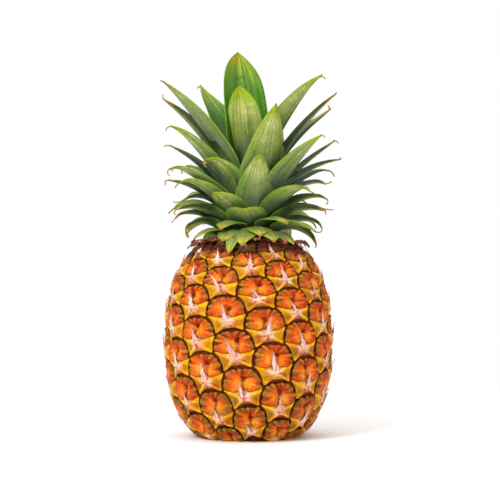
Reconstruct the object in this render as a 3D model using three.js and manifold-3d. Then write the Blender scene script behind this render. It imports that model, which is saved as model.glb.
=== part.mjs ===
// A ripe pineapple standing on its flat base, with its crown of leaves.
// Millimetres, +Z up. The front looks towards -Y, and turns count from there towards +X.
import * as THREE from 'three';
import { mergeVertices } from 'three/addons/utils/BufferGeometryUtils.js';
import Module from 'manifold-3d';

const wasm = await Module();
wasm.setup();

// The fruit: a barrel of revolution whose crests follow a superellipse.
const FRUIT_RADIUS = 60;
const GIRTH_HEIGHT = 68;
const HALF_HEIGHT = 74.5;
const BARREL_POWER = 2.2;
const BARREL_ROUNDNESS = 0.31;
const FRUIT_TOP = 138.5;
const EYE_RELIEF = 2.6;

// The eyes: opposite pairs on a spiral, counted along the barrel's outline from the crown end.
// They are a little wider in front than at the back.
const PAIR_TURN = 68.14;
const FIRST_TURN = 11.8;
const MIDDLE_PAIR_ARC = 104.2;
const PAIR_DROP = 2.97;
const PAIR_DROP_GROWTH = 0.0138;
const PAIRS_ABOVE = 32;
const PAIRS_BELOW = 28;
const PAIRS_WITH_TIP_BELOW = 22;
const PAIRS_WITH_TIP_ABOVE = 19;
const FRONT_SPREAD = 5;
const SPREAD_OFFSET = -1.5;

// The stalk end and the crown's seat.
const STUB_RADIUS = 12.5;
const STUB_HEIGHT = 6;
const SEAT_RADIUS = 17;
const SEAT_DEPTH = 5;
const GAP = 0.3;

// The crown's short stem and its leaves.
const STEM_FOOT_RADIUS = 16.5;
const STEM_RADIUS = 20;
const STEM_TOP_RADIUS = 7;
const STEM_SHOULDER = 142;
const STEM_TOP = 182;
const ROOT_SINK = 5;
const LOWEST_ROOT = 142;
const HIGHEST_ROOT = 178;
const ROOT_CROWDING = 0.9;
const LEAF_THICKNESS = 1.4;
const LEAF_STEPS = 5;
const LEAF_CLEARANCE = 3.4;
const REFLEXED_WITHIN = 55;
const REFLEXED_BELOW = 149;
const REFLEXED_CLEARANCE = 3.6;
const REFLEXED_LAYERS = 0.4;
const REFLEXED_CUP = -0.5;
const SHORTEST_EDGE = 0.01;
const ROOT_WIDTH_SHARE = 0.45;
const FULL_WIDTH_AT = 0.4;
const DROOP_FROM = 0.45;
const BASE_CUP = 48;
const TIP_CUP = 36;
const POINTED = 3.2;
const BLUNT = 8;
const TWIST_OVER = [0.1, 0.6];
const UPRIGHT_REACH = 20;

// Leaves that show from the front and the sides, from the top of the crown down:
// [turn in degrees, reach from the axis, height of the tip, width, bow of the middle, droop of the tip,
//  height of the root, twist in degrees].
const FRONT_LEAVES = [
  [-149, 17, 282, 37, 1, 0, 178, 0],
  [-22, 18, 249, 28, 2, 0, 172, 0],
  [-125, 46, 259, 36, 4, 0, 176, 10],
  [58, 60, 254, 29, 9, 0, 170, 0],
  [-64, 66, 249, 27, 5, 0, 170, 0],
  [128, 38, 236, 26, 3, 0, 172, 0],
  [32, 36, 233, 37, -4, 0, 158, 0],
  [-80, 63, 241, 28, 7, 2, 162, 0],
  [80, 64, 245, 26, 6, 0, 164, 10],
  [104, 64, 239, 25, 6, 1, 166, 10],
  [-64, 60, 219, 26, 5, 2, 158, 0],
  [56, 61, 210, 27, 4, 1, 154, 0],
  [-46, 42, 196, 28, 6, 4, 156, 0],
  [15, 30, 199, 31, -3, 0, 146, 0],
  [-96, 58, 210, 22, 4, 2, 160, 10],
  [84, 63, 211, 22, 3, 0, 160, 10],
  [94, 68, 200, 22, 6, 2, 158, 10],
  [-76, 58, 193, 22, 4, 1, 156, 0],
  [-62, 56, 190, 22, 3, 1, 154, 0],
  [108, 63, 196, 22, 3, 2, 158, 10],
  [52, 54, 174, 27, 4, 5, 147, 0],
  [-60, 55, 181, 23, 4, 3, 150, 0],
  [-100, 60, 185, 22, 4, 2, 154, 10],
  [-36, 41, 170, 28, 1, 3, 148, 0],
  [80, 58, 170, 22, 5, 3, 149, 0],
  [-92, 49, 169, 20, 6, 7, 150, 10],
  [104, 57, 164, 20, 5, 4, 149, 10],
  [-4, 46, 157, 30, 3, 1, 143, 0],
  [-66, 56, 159, 22, 4, 5, 146, 0],
  [-84, 54, 157, 20, 4, 3, 146, 10],
  [66, 59, 158, 22, 4, 5, 145, 0],
  [38, 44, 148, 27, 7, 0, 145, 0],
  [86, 55, 150, 20, 4, 4, 144, 0],
  [-30, 39, 144, 25, 7, 0, 144, 0],
  [-74, 49, 146, 20, 4, 6, 142, 0],
  [12, 40, 139, 24, 6, 0, 142, 0],
  [60, 54, 143, 20, 4, 4, 141, 0],
  [-24, 43, 135, 23, 4.6, 0, 141, 0],
  [-54, 47, 138, 20, 5.4, 2, 141.5, 0],
  [25, 43, 135, 22, 5.1, 0, 141.2, 0],
  [-6, 45, 132, 23, 3.8, 0, 141, 0],
  [45, 45, 134, 21, 4.2, 0, 141.3, 0],
  [-16, 50, 127, 14, 3, 0, 141.4, 0],
];

// The leaves behind follow the golden angle within the back of the crown.
const BACK_LEAVES = 24;
const BACK_SPREAD = { highest: 0.4, growth: 1.4, full: 74 };
const BACK_CROWDING = 0.7;
const BACK_REACH = { highest: 26, widest: 64, drawnInFrom: 0.55, drawnIn: 26 };
const BACK_TIP = { highest: 246, lowest: 131 };
const BACK_WIDTH = { highest: 26, lowest: 20 };
const BACK_DROOP = { highest: 1, lowest: 8 };
const BACK_BOW = 4;
const GOLDEN_ANGLE = 137.508;

// The ring of dry bracts between the fruit and the crown.
const COLLAR_INNER = 22;
const COLLAR_OUTER = 30.5;
const COLLAR_THICKNESS = 1;
const COLLAR_BRACTS = 18;
const COLLAR_BRACT_REACH = 41.5;
const COLLAR_BRACT_STAGGER = 3;
const COLLAR_BRACT_SINK = 4;
const COLLAR_BRACT_WIDTH = 11;
const COLLAR_BRACT_THICKNESS = 0.9;
const COLLAR_BRACT_STEPS = 3;

const radians = THREE.MathUtils.degToRad;
const lerp = THREE.MathUtils.lerp;
const smoothstep = THREE.MathUtils.smoothstep;

// ---- solids ----

function toSolid(geometry) {
  geometry.deleteAttribute('normal');
  geometry.deleteAttribute('uv');
  const merged = mergeVertices(geometry, 1e-4);
  const corners = [];
  for (let i = 0; i < merged.index.count; i += 3) {
    const [a, b, c] = [0, 1, 2].map((k) => merged.index.getX(i + k));
    if (a !== b && b !== c && c !== a) {
      corners.push(a, b, c);
    }
  }
  return new wasm.Manifold(new wasm.Mesh({
    numProp: 3,
    vertProperties: new Float32Array(merged.attributes.position.array),
    triVerts: new Uint32Array(corners),
  }));
}

function turned(profile, segments) {
  const points = profile.map(([radius, height]) => new THREE.Vector2(radius, height));
  return toSolid(new THREE.LatheGeometry(points, segments).rotateX(Math.PI / 2));
}

// A closed skin through rings of points; a ring of one point closes to a tip.
function lofted(rings) {
  const positions = rings.flat().flatMap((point) => point.toArray());
  const index = [];
  const count = rings[0].length;
  const last = rings.length - 1;
  for (let k = 2; k < count; k += 1) {
    index.push(0, k, k - 1);
  }
  for (let row = 0; row < last; row += 1) {
    const below = row * count;
    const above = below + count;
    for (let k = 0; k < count; k += 1) {
      const next = (k + 1) % count;
      if (rings[row + 1].length === 1) {
        index.push(below + k, below + next, above);
      } else {
        index.push(below + k, below + next, above + next, below + k, above + next, above + k);
      }
    }
  }
  if (rings[last].length > 1) {
    for (let k = 2; k < count; k += 1) {
      index.push(last * count, last * count + k - 1, last * count + k);
    }
  }
  const geometry = new THREE.BufferGeometry();
  geometry.setAttribute('position', new THREE.Float32BufferAttribute(positions, 3));
  geometry.setIndex(index);
  return toSolid(geometry);
}

function joined(solids) {
  let pieces = solids;
  while (pieces.length > 1) {
    const pairs = [];
    for (let k = 0; k < pieces.length; k += 2) {
      pairs.push(k + 1 < pieces.length ? pieces[k].add(pieces[k + 1]) : pieces[k]);
    }
    pieces = pairs;
  }
  return pieces[0];
}

// The outermost skin alone, so that hollows sealed between the joined pieces are filled.
function filled(solid) {
  return solid.decompose().reduce((largest, piece) => (piece.volume() > largest.volume() ? piece : largest));
}

function meshOf(name, solid, color, roughness) {
  const { vertProperties, triVerts } = solid.getMesh();
  const geometry = new THREE.BufferGeometry();
  geometry.setAttribute('position', new THREE.BufferAttribute(vertProperties, 3));
  geometry.setIndex(new THREE.BufferAttribute(triVerts, 1));
  const mesh = new THREE.Mesh(geometry, new THREE.MeshStandardMaterial({ color, roughness, metalness: 0 }));
  mesh.name = name;
  return mesh;
}

// ---- the barrel ----

function barrelRadius(height) {
  const share = Math.min(1, Math.abs(height - GIRTH_HEIGHT) / HALF_HEIGHT);
  return FRUIT_RADIUS * (1 - share ** BARREL_POWER) ** BARREL_ROUNDNESS;
}

function shoulderHeight(radius) {
  const share = (1 - Math.min(1, radius / FRUIT_RADIUS) ** (1 / BARREL_ROUNDNESS)) ** (1 / BARREL_POWER);
  return Math.min(FRUIT_TOP, GIRTH_HEIGHT + HALF_HEIGHT * share);
}

// The barrel's outline from the crown end to the base, for walking by arc length. Below the base
// it runs on in a straight line, so that the eyes cut by the base keep their size.
const OUTLINE_STEPS = 48;
const OUTLINE = new THREE.CatmullRomCurve3(
  Array.from({ length: OUTLINE_STEPS + 1 }, (_, k) => {
    const height = (GIRTH_HEIGHT + HALF_HEIGHT) * (0.5 + 0.5 * Math.cos((Math.PI * k) / OUTLINE_STEPS));
    return new THREE.Vector3(barrelRadius(height), 0, height);
  }),
);
OUTLINE.arcLengthDivisions = 800;
const OUTLINE_LENGTH = OUTLINE.getLength();

function onBarrel(turn, arc, rise) {
  const share = THREE.MathUtils.clamp(arc / OUTLINE_LENGTH, 0.001, 0.999);
  const along = OUTLINE.getTangentAt(share);
  const point = OUTLINE.getPointAt(share).addScaledVector(along, Math.max(0, arc - OUTLINE_LENGTH));
  const radius = Math.max(0.5, point.x - rise * along.z);
  const height = point.z + rise * along.x;
  return new THREE.Vector3(radius * Math.sin(turn), -radius * Math.cos(turn), height);
}

// ---- the eyes ----

// An eye is named by its pair and its half, 0 or 1 for the two opposite eyes of the pair.
// Its neighbours are the same steps away all over the fruit: three pairs on is the eye at its right,
// five pairs on the one at its lower left and eight pairs on the one below.
const STEP_RIGHT = { pairs: 3, half: 1 };
const STEP_LOWER_LEFT = { pairs: 5, half: 0 };
const STEP_BELOW = { pairs: 8, half: 1 };

function neighbour(eye, step, sign = 1) {
  return { pair: eye.pair + sign * step.pairs, half: (eye.half + step.half) % 2 };
}

function pairArc(pair) {
  return MIDDLE_PAIR_ARC + PAIR_DROP * pair + PAIR_DROP_GROWTH * pair * pair;
}

// A point of one eye: x to the right and y up in millimetres at the girth, rise above the groove.
// The eye's own zero is the middle of the line where the cap meets the bract.
function onEye(eye, x, y, rise) {
  const evenTurn = radians(FIRST_TURN + PAIR_TURN * eye.pair + 180 * eye.half) + x / FRUIT_RADIUS;
  const turn = evenTurn + radians(FRONT_SPREAD * Math.sin(evenTurn) + SPREAD_OFFSET);
  return onBarrel(turn, pairArc(eye.pair - y / PAIR_DROP), rise - EYE_RELIEF);
}

// Each eye owns three corners of the groove net, at the upper right, the right and the top of its cap.
const NET_CORNERS = { upperRight: [7.3, 12.9], right: [13, 2.4], top: [0, 14.2] };

// The groove corners round one eye, counter-clockwise from the right, as their owners and names.
function grooveRing(eye) {
  const lowerLeft = neighbour(eye, STEP_LOWER_LEFT);
  const below = neighbour(eye, STEP_BELOW);
  const left = neighbour(eye, STEP_RIGHT, -1);
  return [
    [eye, 'right'], [eye, 'upperRight'], [eye, 'top'], [left, 'right'],
    [lowerLeft, 'upperRight'], [lowerLeft, 'right'], [below, 'top'], [below, 'upperRight'],
  ];
}

const RIM = [
  [11.9, 2.2], [6.7, 12], [0, 13.3], [-11.3, 10], [-12, -0.4], [-6.5, -10.6], [4.6, -7.5], [11.6, -8.6],
];
const CREST = [
  [9, 2], [4.4, 8.6], [0, 9.8], [-7.4, 7.6], [-8.8, 0.8], [-4.4, -5], [2, -4], [7.6, -4.4],
];
const RIM_RISE = 1.5;
const CREST_RISE = 2.6;
const BRACT = [[-9.2, -1.2, 0.9], [0.8, -6.4, 2.4], [9.2, -1.4, 0.9]];
const BRACT_TIP = [-1.6, 9.5, 5];

// The whole skin of eyes as one closed body: every eye is a groove ring, a rim, a crest and a flat top.
function eyeSkin() {
  const points = [];
  const index = [];
  const netNumbers = new Map();
  const netNumber = ([owner, corner]) => {
    const key = `${owner.pair} ${owner.half} ${corner}`;
    if (!netNumbers.has(key)) {
      netNumbers.set(key, points.length);
      points.push(onEye(owner, ...NET_CORNERS[corner], 0));
    }
    return netNumbers.get(key);
  };
  const ringNumbers = (eye, ring, rise) => ring.map(([x, y]) => points.push(onEye(eye, x, y, rise)) - 1);
  for (let pair = -PAIRS_ABOVE; pair <= PAIRS_BELOW; pair += 1) {
    for (const half of [0, 1]) {
      const eye = { pair, half };
      const groove = grooveRing(eye).map(netNumber);
      const rim = ringNumbers(eye, RIM, RIM_RISE);
      const crest = ringNumbers(eye, CREST, CREST_RISE);
      for (const [outer, inner] of [[groove, rim], [rim, crest]]) {
        outer.forEach((corner, k) => {
          const next = (k + 1) % outer.length;
          index.push(corner, outer[next], inner[next], corner, inner[next], inner[k]);
        });
      }
      for (let k = 2; k < crest.length; k += 1) {
        index.push(crest[0], crest[k - 1], crest[k]);
      }
    }
  }
  closeEnds(points, index);
  const geometry = new THREE.BufferGeometry().setFromPoints(points);
  geometry.setIndex(index);
  return toSolid(geometry);
}

// Each open end of the skin is closed by a fan to a point on the axis.
function closeEnds(points, index) {
  const edges = new Map();
  for (let k = 0; k < index.length; k += 3) {
    [0, 1, 2].forEach((side) => {
      const from = index[k + side];
      const to = index[k + ((side + 1) % 3)];
      if (!edges.delete(`${to} ${from}`)) {
        edges.set(`${from} ${to}`, [from, to]);
      }
    });
  }
  const topPole = points.push(new THREE.Vector3(0, 0, FRUIT_TOP + 4)) - 1;
  const basePole = points.push(new THREE.Vector3(0, 0, -30)) - 1;
  for (const [from, to] of edges.values()) {
    index.push(to, from, points[from].z > GIRTH_HEIGHT ? topPole : basePole);
  }
}

// The bract of one eye: a three-sided point that lies up over the cap.
function bractSolid(eye) {
  return lofted([BRACT.map(([x, y, rise]) => onEye(eye, x, y, rise)), [onEye(eye, ...BRACT_TIP)]]);
}

function bractSolids() {
  const solids = [];
  for (let pair = -PAIRS_WITH_TIP_ABOVE; pair <= PAIRS_WITH_TIP_BELOW; pair += 1) {
    solids.push(bractSolid({ pair, half: 0 }), bractSolid({ pair, half: 1 }));
  }
  return solids;
}

function buildFruit() {
  const slabRadius = 2 * FRUIT_RADIUS;
  const slab = turned([[0, 0], [slabRadius, 0], [slabRadius, FRUIT_TOP], [0, FRUIT_TOP]], 8);
  const seat = turned([
    [0, FRUIT_TOP - SEAT_DEPTH],
    [SEAT_RADIUS, FRUIT_TOP - SEAT_DEPTH],
    [SEAT_RADIUS, FRUIT_TOP + 5],
    [0, FRUIT_TOP + 5],
  ], 24);
  const socket = turned([
    [0, -5],
    [STUB_RADIUS + GAP, -5],
    [STUB_RADIUS + GAP, STUB_HEIGHT + GAP],
    [0, STUB_HEIGHT + GAP],
  ], 24);
  return filled(joined([eyeSkin(), ...bractSolids()])).intersect(slab).subtract(seat).subtract(socket);
}

// ---- the stalk stub ----

function buildStub() {
  return turned([[0, 0], [STUB_RADIUS, 0], [STUB_RADIUS, STUB_HEIGHT], [0, STUB_HEIGHT]], 24);
}

// ---- the crown ----

function stemRadius(height) {
  const share = THREE.MathUtils.clamp((height - STEM_SHOULDER) / (STEM_TOP - STEM_SHOULDER), 0, 1);
  return lerp(STEM_RADIUS, STEM_TOP_RADIUS, share);
}

function stemSolid() {
  const foot = FRUIT_TOP - SEAT_DEPTH + GAP;
  return turned([
    [0, foot],
    [STEM_FOOT_RADIUS, foot],
    [STEM_FOOT_RADIUS, FRUIT_TOP + GAP],
    [STEM_RADIUS, STEM_SHOULDER],
    [STEM_TOP_RADIUS, STEM_TOP],
    [0, STEM_TOP + 5],
  ], 16);
}

// The low leaves in front bend down over the shoulder and arch across instead of cupping.
function isReflexed(leaf) {
  return Math.abs(leaf.turn) < REFLEXED_WITHIN && leaf.tip < REFLEXED_BELOW;
}

// The blade's middle line, in the upright plane through the axis: x outwards and y up.
function leafSpine(leaf) {
  const root = new THREE.Vector2(Math.max(1, stemRadius(leaf.root) - ROOT_SINK), leaf.root);
  const tip = new THREE.Vector2(leaf.reach, leaf.tip + leaf.droop);
  const chord = tip.clone().sub(root);
  const lift = new THREE.Vector2(-chord.y, chord.x).normalize().multiplyScalar(2 * leaf.bow);
  const middle = root.clone().lerp(tip, 0.5).add(lift);
  const curve = new THREE.QuadraticBezierCurve(root, middle, tip);
  return Array.from({ length: LEAF_STEPS + 1 }, (_, k) => {
    const share = k / LEAF_STEPS;
    const point = curve.getPoint(share);
    point.y -= leaf.droop * Math.max(0, (share - DROOP_FROM) / (1 - DROOP_FROM)) ** 2;
    if (k > 0) {
      const clearance = isReflexed(leaf) ? REFLEXED_CLEARANCE + REFLEXED_LAYERS * leaf.bow : LEAF_CLEARANCE;
      point.y = Math.max(point.y, shoulderHeight(point.x) + clearance);
    }
    return point;
  });
}

// Half the blade's width at a share of its length: narrow at the root, full, then in to the tip.
function leafHalfWidth(leaf, share) {
  const sharpness = leaf.reach < UPRIGHT_REACH ? BLUNT : POINTED;
  const spread = Math.sin((Math.min(share / FULL_WIDTH_AT, 1) * Math.PI) / 2);
  return (leaf.width / 2) * lerp(ROOT_WIDTH_SHARE, 1, spread) * (1 - share ** sharpness);
}

function leafSolid(leaf) {
  const turn = radians(leaf.turn);
  const side = new THREE.Vector3(Math.cos(turn), Math.sin(turn), 0);
  const outwards = new THREE.Vector3(Math.sin(turn), -Math.cos(turn), 0);
  const spine = leafSpine(leaf);
  return lofted(spine.map((point, k) => {
    const share = k / LEAF_STEPS;
    const along = spine[Math.min(k + 1, LEAF_STEPS)].clone().sub(spine[Math.max(k - 1, 0)]).normalize();
    const inwards = outwards.clone().multiplyScalar(-along.y).setZ(along.x);
    const centre = outwards.clone().multiplyScalar(point.x).setZ(point.y);
    if (k === LEAF_STEPS) {
      return [centre];
    }
    const twist = Math.sign(leaf.turn) * radians(leaf.twist) * smoothstep(share, ...TWIST_OVER);
    const at = (across, lift) => centre.clone()
      .addScaledVector(side, across * Math.cos(twist) - lift * Math.sin(twist))
      .addScaledVector(inwards, across * Math.sin(twist) + lift * Math.cos(twist));
    const halfWidth = leafHalfWidth(leaf, share);
    const cup = radians(lerp(BASE_CUP, TIP_CUP, share)) * (isReflexed(leaf) ? REFLEXED_CUP : 1);
    const edgeLift = halfWidth * Math.tan(cup / 2);
    return [
      at(-halfWidth, edgeLift),
      at(0, -LEAF_THICKNESS / 2),
      at(halfWidth, edgeLift),
      at(0, LEAF_THICKNESS / 2),
    ];
  }));
}

function frontLeaves() {
  return FRONT_LEAVES.map(([turn, reach, tip, width, bow, droop, root, twist]) => {
    return { turn, reach, tip, width, bow, droop, root, twist };
  });
}

function backLeaves() {
  return Array.from({ length: BACK_LEAVES }, (_, k) => {
    const share = ((k + 0.5) / BACK_LEAVES) ** BACK_CROWDING;
    const swing = ((k * GOLDEN_ANGLE) % 360) / 180 - 1;
    const opening = Math.sin(Math.min(1, 2 * share) * (Math.PI / 2));
    const spread = BACK_SPREAD.full * Math.min(1, BACK_SPREAD.highest + BACK_SPREAD.growth * share);
    const drawnIn = BACK_REACH.drawnIn * Math.max(0, share - BACK_REACH.drawnInFrom);
    return {
      turn: 180 + spread * swing,
      reach: lerp(BACK_REACH.highest, BACK_REACH.widest, opening) - drawnIn,
      tip: lerp(BACK_TIP.highest, BACK_TIP.lowest, share ** ROOT_CROWDING),
      width: lerp(BACK_WIDTH.highest, BACK_WIDTH.lowest, share),
      bow: BACK_BOW,
      droop: lerp(BACK_DROOP.highest, BACK_DROOP.lowest, share * share),
      root: lerp(HIGHEST_ROOT, LOWEST_ROOT, share ** ROOT_CROWDING),
      twist: 0,
    };
  });
}

function buildCrown() {
  const leaves = [...frontLeaves(), ...backLeaves()].map(leafSolid);
  return filled(joined([stemSolid(), ...leaves])).simplify(SHORTEST_EDGE);
}

// ---- the collar of dry bracts ----

function collarRing() {
  const floor = FRUIT_TOP + GAP;
  const roof = floor + COLLAR_THICKNESS;
  return turned([
    [COLLAR_INNER, floor],
    [COLLAR_OUTER, floor],
    [COLLAR_OUTER, roof],
    [COLLAR_INNER, roof],
    [COLLAR_INNER, floor],
  ], 20);
}

// A dry bract that lies down over the fruit's shoulder; every other one is shorter.
function collarBract(k) {
  const turn = radians((360 * k) / COLLAR_BRACTS);
  const side = new THREE.Vector3(Math.cos(turn), Math.sin(turn), 0);
  const outwards = new THREE.Vector3(Math.sin(turn), -Math.cos(turn), 0);
  const reach = COLLAR_BRACT_REACH - (k % 2) * COLLAR_BRACT_STAGGER;
  return lofted(Array.from({ length: COLLAR_BRACT_STEPS + 1 }, (_, step) => {
    const share = step / COLLAR_BRACT_STEPS;
    const radius = lerp(COLLAR_OUTER - COLLAR_BRACT_SINK, reach, share);
    const floor = shoulderHeight(radius) + 2 * GAP;
    const foot = outwards.clone().multiplyScalar(radius).setZ(floor);
    if (step === COLLAR_BRACT_STEPS) {
      return [foot];
    }
    const halfWidth = (COLLAR_BRACT_WIDTH / 2) * (1 - share ** 2);
    return [
      foot.clone().addScaledVector(side, -halfWidth),
      foot.clone().addScaledVector(side, halfWidth),
      foot.clone().setZ(floor + COLLAR_BRACT_THICKNESS),
    ];
  }));
}

function buildCollar() {
  const bracts = Array.from({ length: COLLAR_BRACTS }, (_, k) => collarBract(k));
  return filled(joined([collarRing(), ...bracts]));
}

// ---- the whole pineapple ----

const pineapple = new THREE.Group();
pineapple.name = 'pineapple';
pineapple.add(meshOf('fruit', buildFruit(), 0xd08a24, 0.45));
pineapple.add(meshOf('stalk_stub', buildStub(), 0xa88a5c, 0.85));
pineapple.add(meshOf('collar_bracts', buildCollar(), 0x8c4a30, 0.8));
pineapple.add(meshOf('crown', buildCrown(), 0x6f8f45, 0.5));

export default pineapple;
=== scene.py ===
"""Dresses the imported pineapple: its rind of eyes, the dry bracts, the crown of leaves and the studio."""

import logging
import math
from dataclasses import dataclass, field
from enum import Enum
from functools import cached_property
from typing import Any

import bpy
import numpy as np
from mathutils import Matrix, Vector


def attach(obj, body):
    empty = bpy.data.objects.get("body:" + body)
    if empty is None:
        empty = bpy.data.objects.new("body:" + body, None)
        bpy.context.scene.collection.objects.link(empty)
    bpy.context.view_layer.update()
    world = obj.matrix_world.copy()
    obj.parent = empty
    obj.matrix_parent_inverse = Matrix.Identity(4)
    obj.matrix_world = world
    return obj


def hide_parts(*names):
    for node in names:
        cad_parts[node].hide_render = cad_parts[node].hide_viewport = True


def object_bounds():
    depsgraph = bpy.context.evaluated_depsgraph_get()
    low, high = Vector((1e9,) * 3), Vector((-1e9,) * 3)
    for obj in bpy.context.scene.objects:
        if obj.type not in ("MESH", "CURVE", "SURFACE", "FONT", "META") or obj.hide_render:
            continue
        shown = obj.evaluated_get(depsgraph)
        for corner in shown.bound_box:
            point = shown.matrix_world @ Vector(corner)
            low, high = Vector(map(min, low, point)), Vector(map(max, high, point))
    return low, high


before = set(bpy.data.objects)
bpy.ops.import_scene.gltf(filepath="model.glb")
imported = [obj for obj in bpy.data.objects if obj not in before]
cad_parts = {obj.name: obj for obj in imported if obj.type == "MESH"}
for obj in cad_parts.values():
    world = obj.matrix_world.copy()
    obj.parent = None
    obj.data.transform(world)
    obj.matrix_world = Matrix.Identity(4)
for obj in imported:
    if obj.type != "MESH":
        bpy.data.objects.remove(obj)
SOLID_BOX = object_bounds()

LOG = logging.getLogger("pineapple")
MM = 0.001
SEED = 71
UP = np.array([0.0, 0.0, 1.0])
WHITE = "#ffffff"
BLACK = "#000000"

Points = np.ndarray
Thing = bpy.types.Object
Tree = bpy.types.NodeTree
Socket = bpy.types.NodeSocket
Draw = np.random.Generator
Pair = tuple[float, float]
Pairs = tuple[Pair, ...]
Stops = tuple[tuple[float, str], ...]


# ---- helpers for shapes ----


def lerp(start: Any, end: Any, share: Any) -> Any:
    """Returns the value at a share of the way from start to end."""
    return start + (end - start) * share


def draw_between(draw: Draw, least: float, most: float) -> float:
    """Returns a number drawn between two, or their value where they are the same."""
    return draw.uniform(least, most) if least < most else most


def smoothstep(low: float, high: float, value: Any) -> Any:
    """Returns 0 below low, 1 above high and an eased value between them."""
    share = np.clip((value - low) / (high - low), 0.0, 1.0)
    return share * share * (3.0 - 2.0 * share)


def spot(x: Any, y: Any, centre: Pair, size: float) -> Any:
    """Returns a soft round spot: 1 at its centre, fading over its size."""
    return np.exp(-((x - centre[0]) ** 2 + (y - centre[1]) ** 2) / size**2)


def ray(x: Any, y: Any, start: Pair, end: Pair, width: float) -> Any:
    """Returns a soft line between two points.

    Args:
        x: Places across.
        y: Places up.
        start: One end of the line.
        end: Its other end.
        width: How far the line fades to each side.

    Returns:
        1 on the line, fading to 0 beside it.
    """
    along = np.subtract(end, start)
    share = np.clip(((x - start[0]) * along[0] + (y - start[1]) * along[1]) / (along @ along), 0.0, 1.0)
    gap = np.hypot(x - start[0] - share * along[0], y - start[1] - share * along[1])
    return np.exp(-((gap / width) ** 2))


def closed_curve(corners: Pairs, shares: Points) -> Points:
    """Walks a closed smooth curve through the corners by its length.

    Args:
        corners: The points that the curve passes, counter-clockwise.
        shares: Where to read it, from 0 to 1.

    Returns:
        One point of the curve for each share.
    """
    knots = np.array(corners)
    steps_between = 40
    fine = np.linspace(0.0, len(knots), steps_between * len(knots), endpoint=False)
    first = fine.astype(int)
    step = (fine - first)[:, None]
    before, start, end, after = (knots[(first + k) % len(knots)] for k in (-1, 0, 1, 2))
    track = start + 0.5 * step * (end - before)
    track += step**2 * (before - 2.5 * start + 2.0 * end - 0.5 * after)
    track += 0.5 * step**3 * (after - 3.0 * end + 3.0 * start - before)
    closed = np.vstack([track, track[:1]])
    length = np.concatenate([[0.0], np.cumsum(np.linalg.norm(np.diff(closed, axis=0), axis=1))])
    places = np.asarray(shares) % 1.0 * length[-1]
    return np.stack([np.interp(places, length, closed[:, axis]) for axis in (0, 1)], axis=1)


def level_axes(turn: float) -> tuple[Points, Points]:
    """Returns the level directions to the side and outwards, at a turn from the front in radians."""
    side = np.array([math.cos(turn), math.sin(turn), 0.0])
    return side, np.array([math.sin(turn), -math.cos(turn), 0.0])


# ---- helpers for Blender objects ----


def deselect_all() -> None:
    """Leaves nothing selected, so that an operator acts only on what comes next."""
    for thing in bpy.context.selected_objects:
        thing.select_set(False)


def select_only(*things: Thing) -> None:
    """Selects some objects alone and makes the first one active.

    Args:
        things: The objects.
    """
    deselect_all()
    for thing in things:
        thing.select_set(True)
    bpy.context.view_layer.objects.active = things[0]


def read_points(thing: Thing) -> Points:
    """Reads where an object's vertices are.

    Args:
        thing: The object.

    Returns:
        Rows of x, y and z in metres.
    """
    flat = np.empty(3 * len(thing.data.vertices))
    thing.data.vertices.foreach_get("co", flat)
    return flat.reshape(-1, 3)


def write_points(thing: Thing, millimetres: Points) -> None:
    """Moves the object's vertices to places given in millimetres."""
    thing.data.vertices.foreach_set("co", (np.asarray(millimetres) * MM).ravel())
    thing.data.update()


def write_mask(thing: Thing, name: str, *channels: Any) -> None:
    """Stores up to three values at each vertex as one colour attribute.

    Args:
        thing: The object to mark.
        name: The attribute's name, which its material reads.
        channels: The red, green and blue values, one number or one per vertex each.
    """
    count = len(thing.data.vertices)
    rows = np.ones((count, 4))
    for place, channel in enumerate(channels):
        rows[:, place] = channel
    attribute = thing.data.attributes.new(name, "FLOAT_COLOR", "POINT")
    attribute.data.foreach_set("color", rows.ravel())


def write_uv(thing: Thing, u: Points, v: Points) -> None:
    """Gives an object its UV map.

    Args:
        thing: The object.
        u: The place across of each vertex.
        v: The place along of each vertex.
    """
    layer = thing.data.uv_layers[0] if thing.data.uv_layers else thing.data.uv_layers.new(name="UVMap")
    corners = np.empty(len(thing.data.loops), dtype=int)
    thing.data.loops.foreach_get("vertex_index", corners)
    layer.data.foreach_set("uv", np.stack([u[corners], v[corners]], axis=1).ravel())


def copy_of(template: Thing, name: str) -> Thing:
    """Copies an object.

    Args:
        template: The object.
        name: The copy's name.

    Returns:
        The copy, with its own mesh.
    """
    copy = template.copy()
    copy.data = template.data.copy()
    copy.name = name
    bpy.context.collection.objects.link(copy)
    return copy


def join(pieces: list[Thing], name: str) -> Thing:
    """Joins objects into one.

    Args:
        pieces: The objects.
        name: The whole's name.

    Returns:
        The whole.
    """
    select_only(*pieces)
    bpy.ops.object.join()
    whole = bpy.context.view_layer.objects.active
    whole.name = name
    whole.data.name = name
    return whole


def remove(thing: Thing) -> None:
    """Takes a template away once its copies are made."""
    bpy.data.meshes.remove(thing.data)


def smooth(thing: Thing, degrees: float) -> None:
    """Shades a mesh smooth, apart from edges sharper than the angle."""
    select_only(thing)
    bpy.ops.object.shade_smooth_by_angle(angle=math.radians(degrees))


def disc(name: str, spokes: int, rings: list[float]) -> Thing:
    """Models a flat disc of one metre: a circle, inset ring by ring and closed to its middle.

    Args:
        name: The object's name.
        spokes: How many vertices each ring has.
        rings: The rings' radii as shares of the outermost one, from the outside in.

    Returns:
        The disc, facing up.
    """
    deselect_all()
    bpy.ops.mesh.primitive_circle_add(vertices=spokes, radius=1.0, fill_type="NGON", location=(0, 0, 0))
    circle = bpy.context.object
    circle.name = name
    bpy.ops.object.mode_set(mode="EDIT")
    bpy.ops.mesh.select_all(action="SELECT")
    flat_share = math.cos(math.pi / spokes)
    for outer, inner in zip(rings, rings[1:]):
        bpy.ops.mesh.inset(thickness=(outer - inner) * flat_share, use_even_offset=True)
    bpy.ops.mesh.poke()
    bpy.ops.object.mode_set(mode="OBJECT")
    return circle


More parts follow.
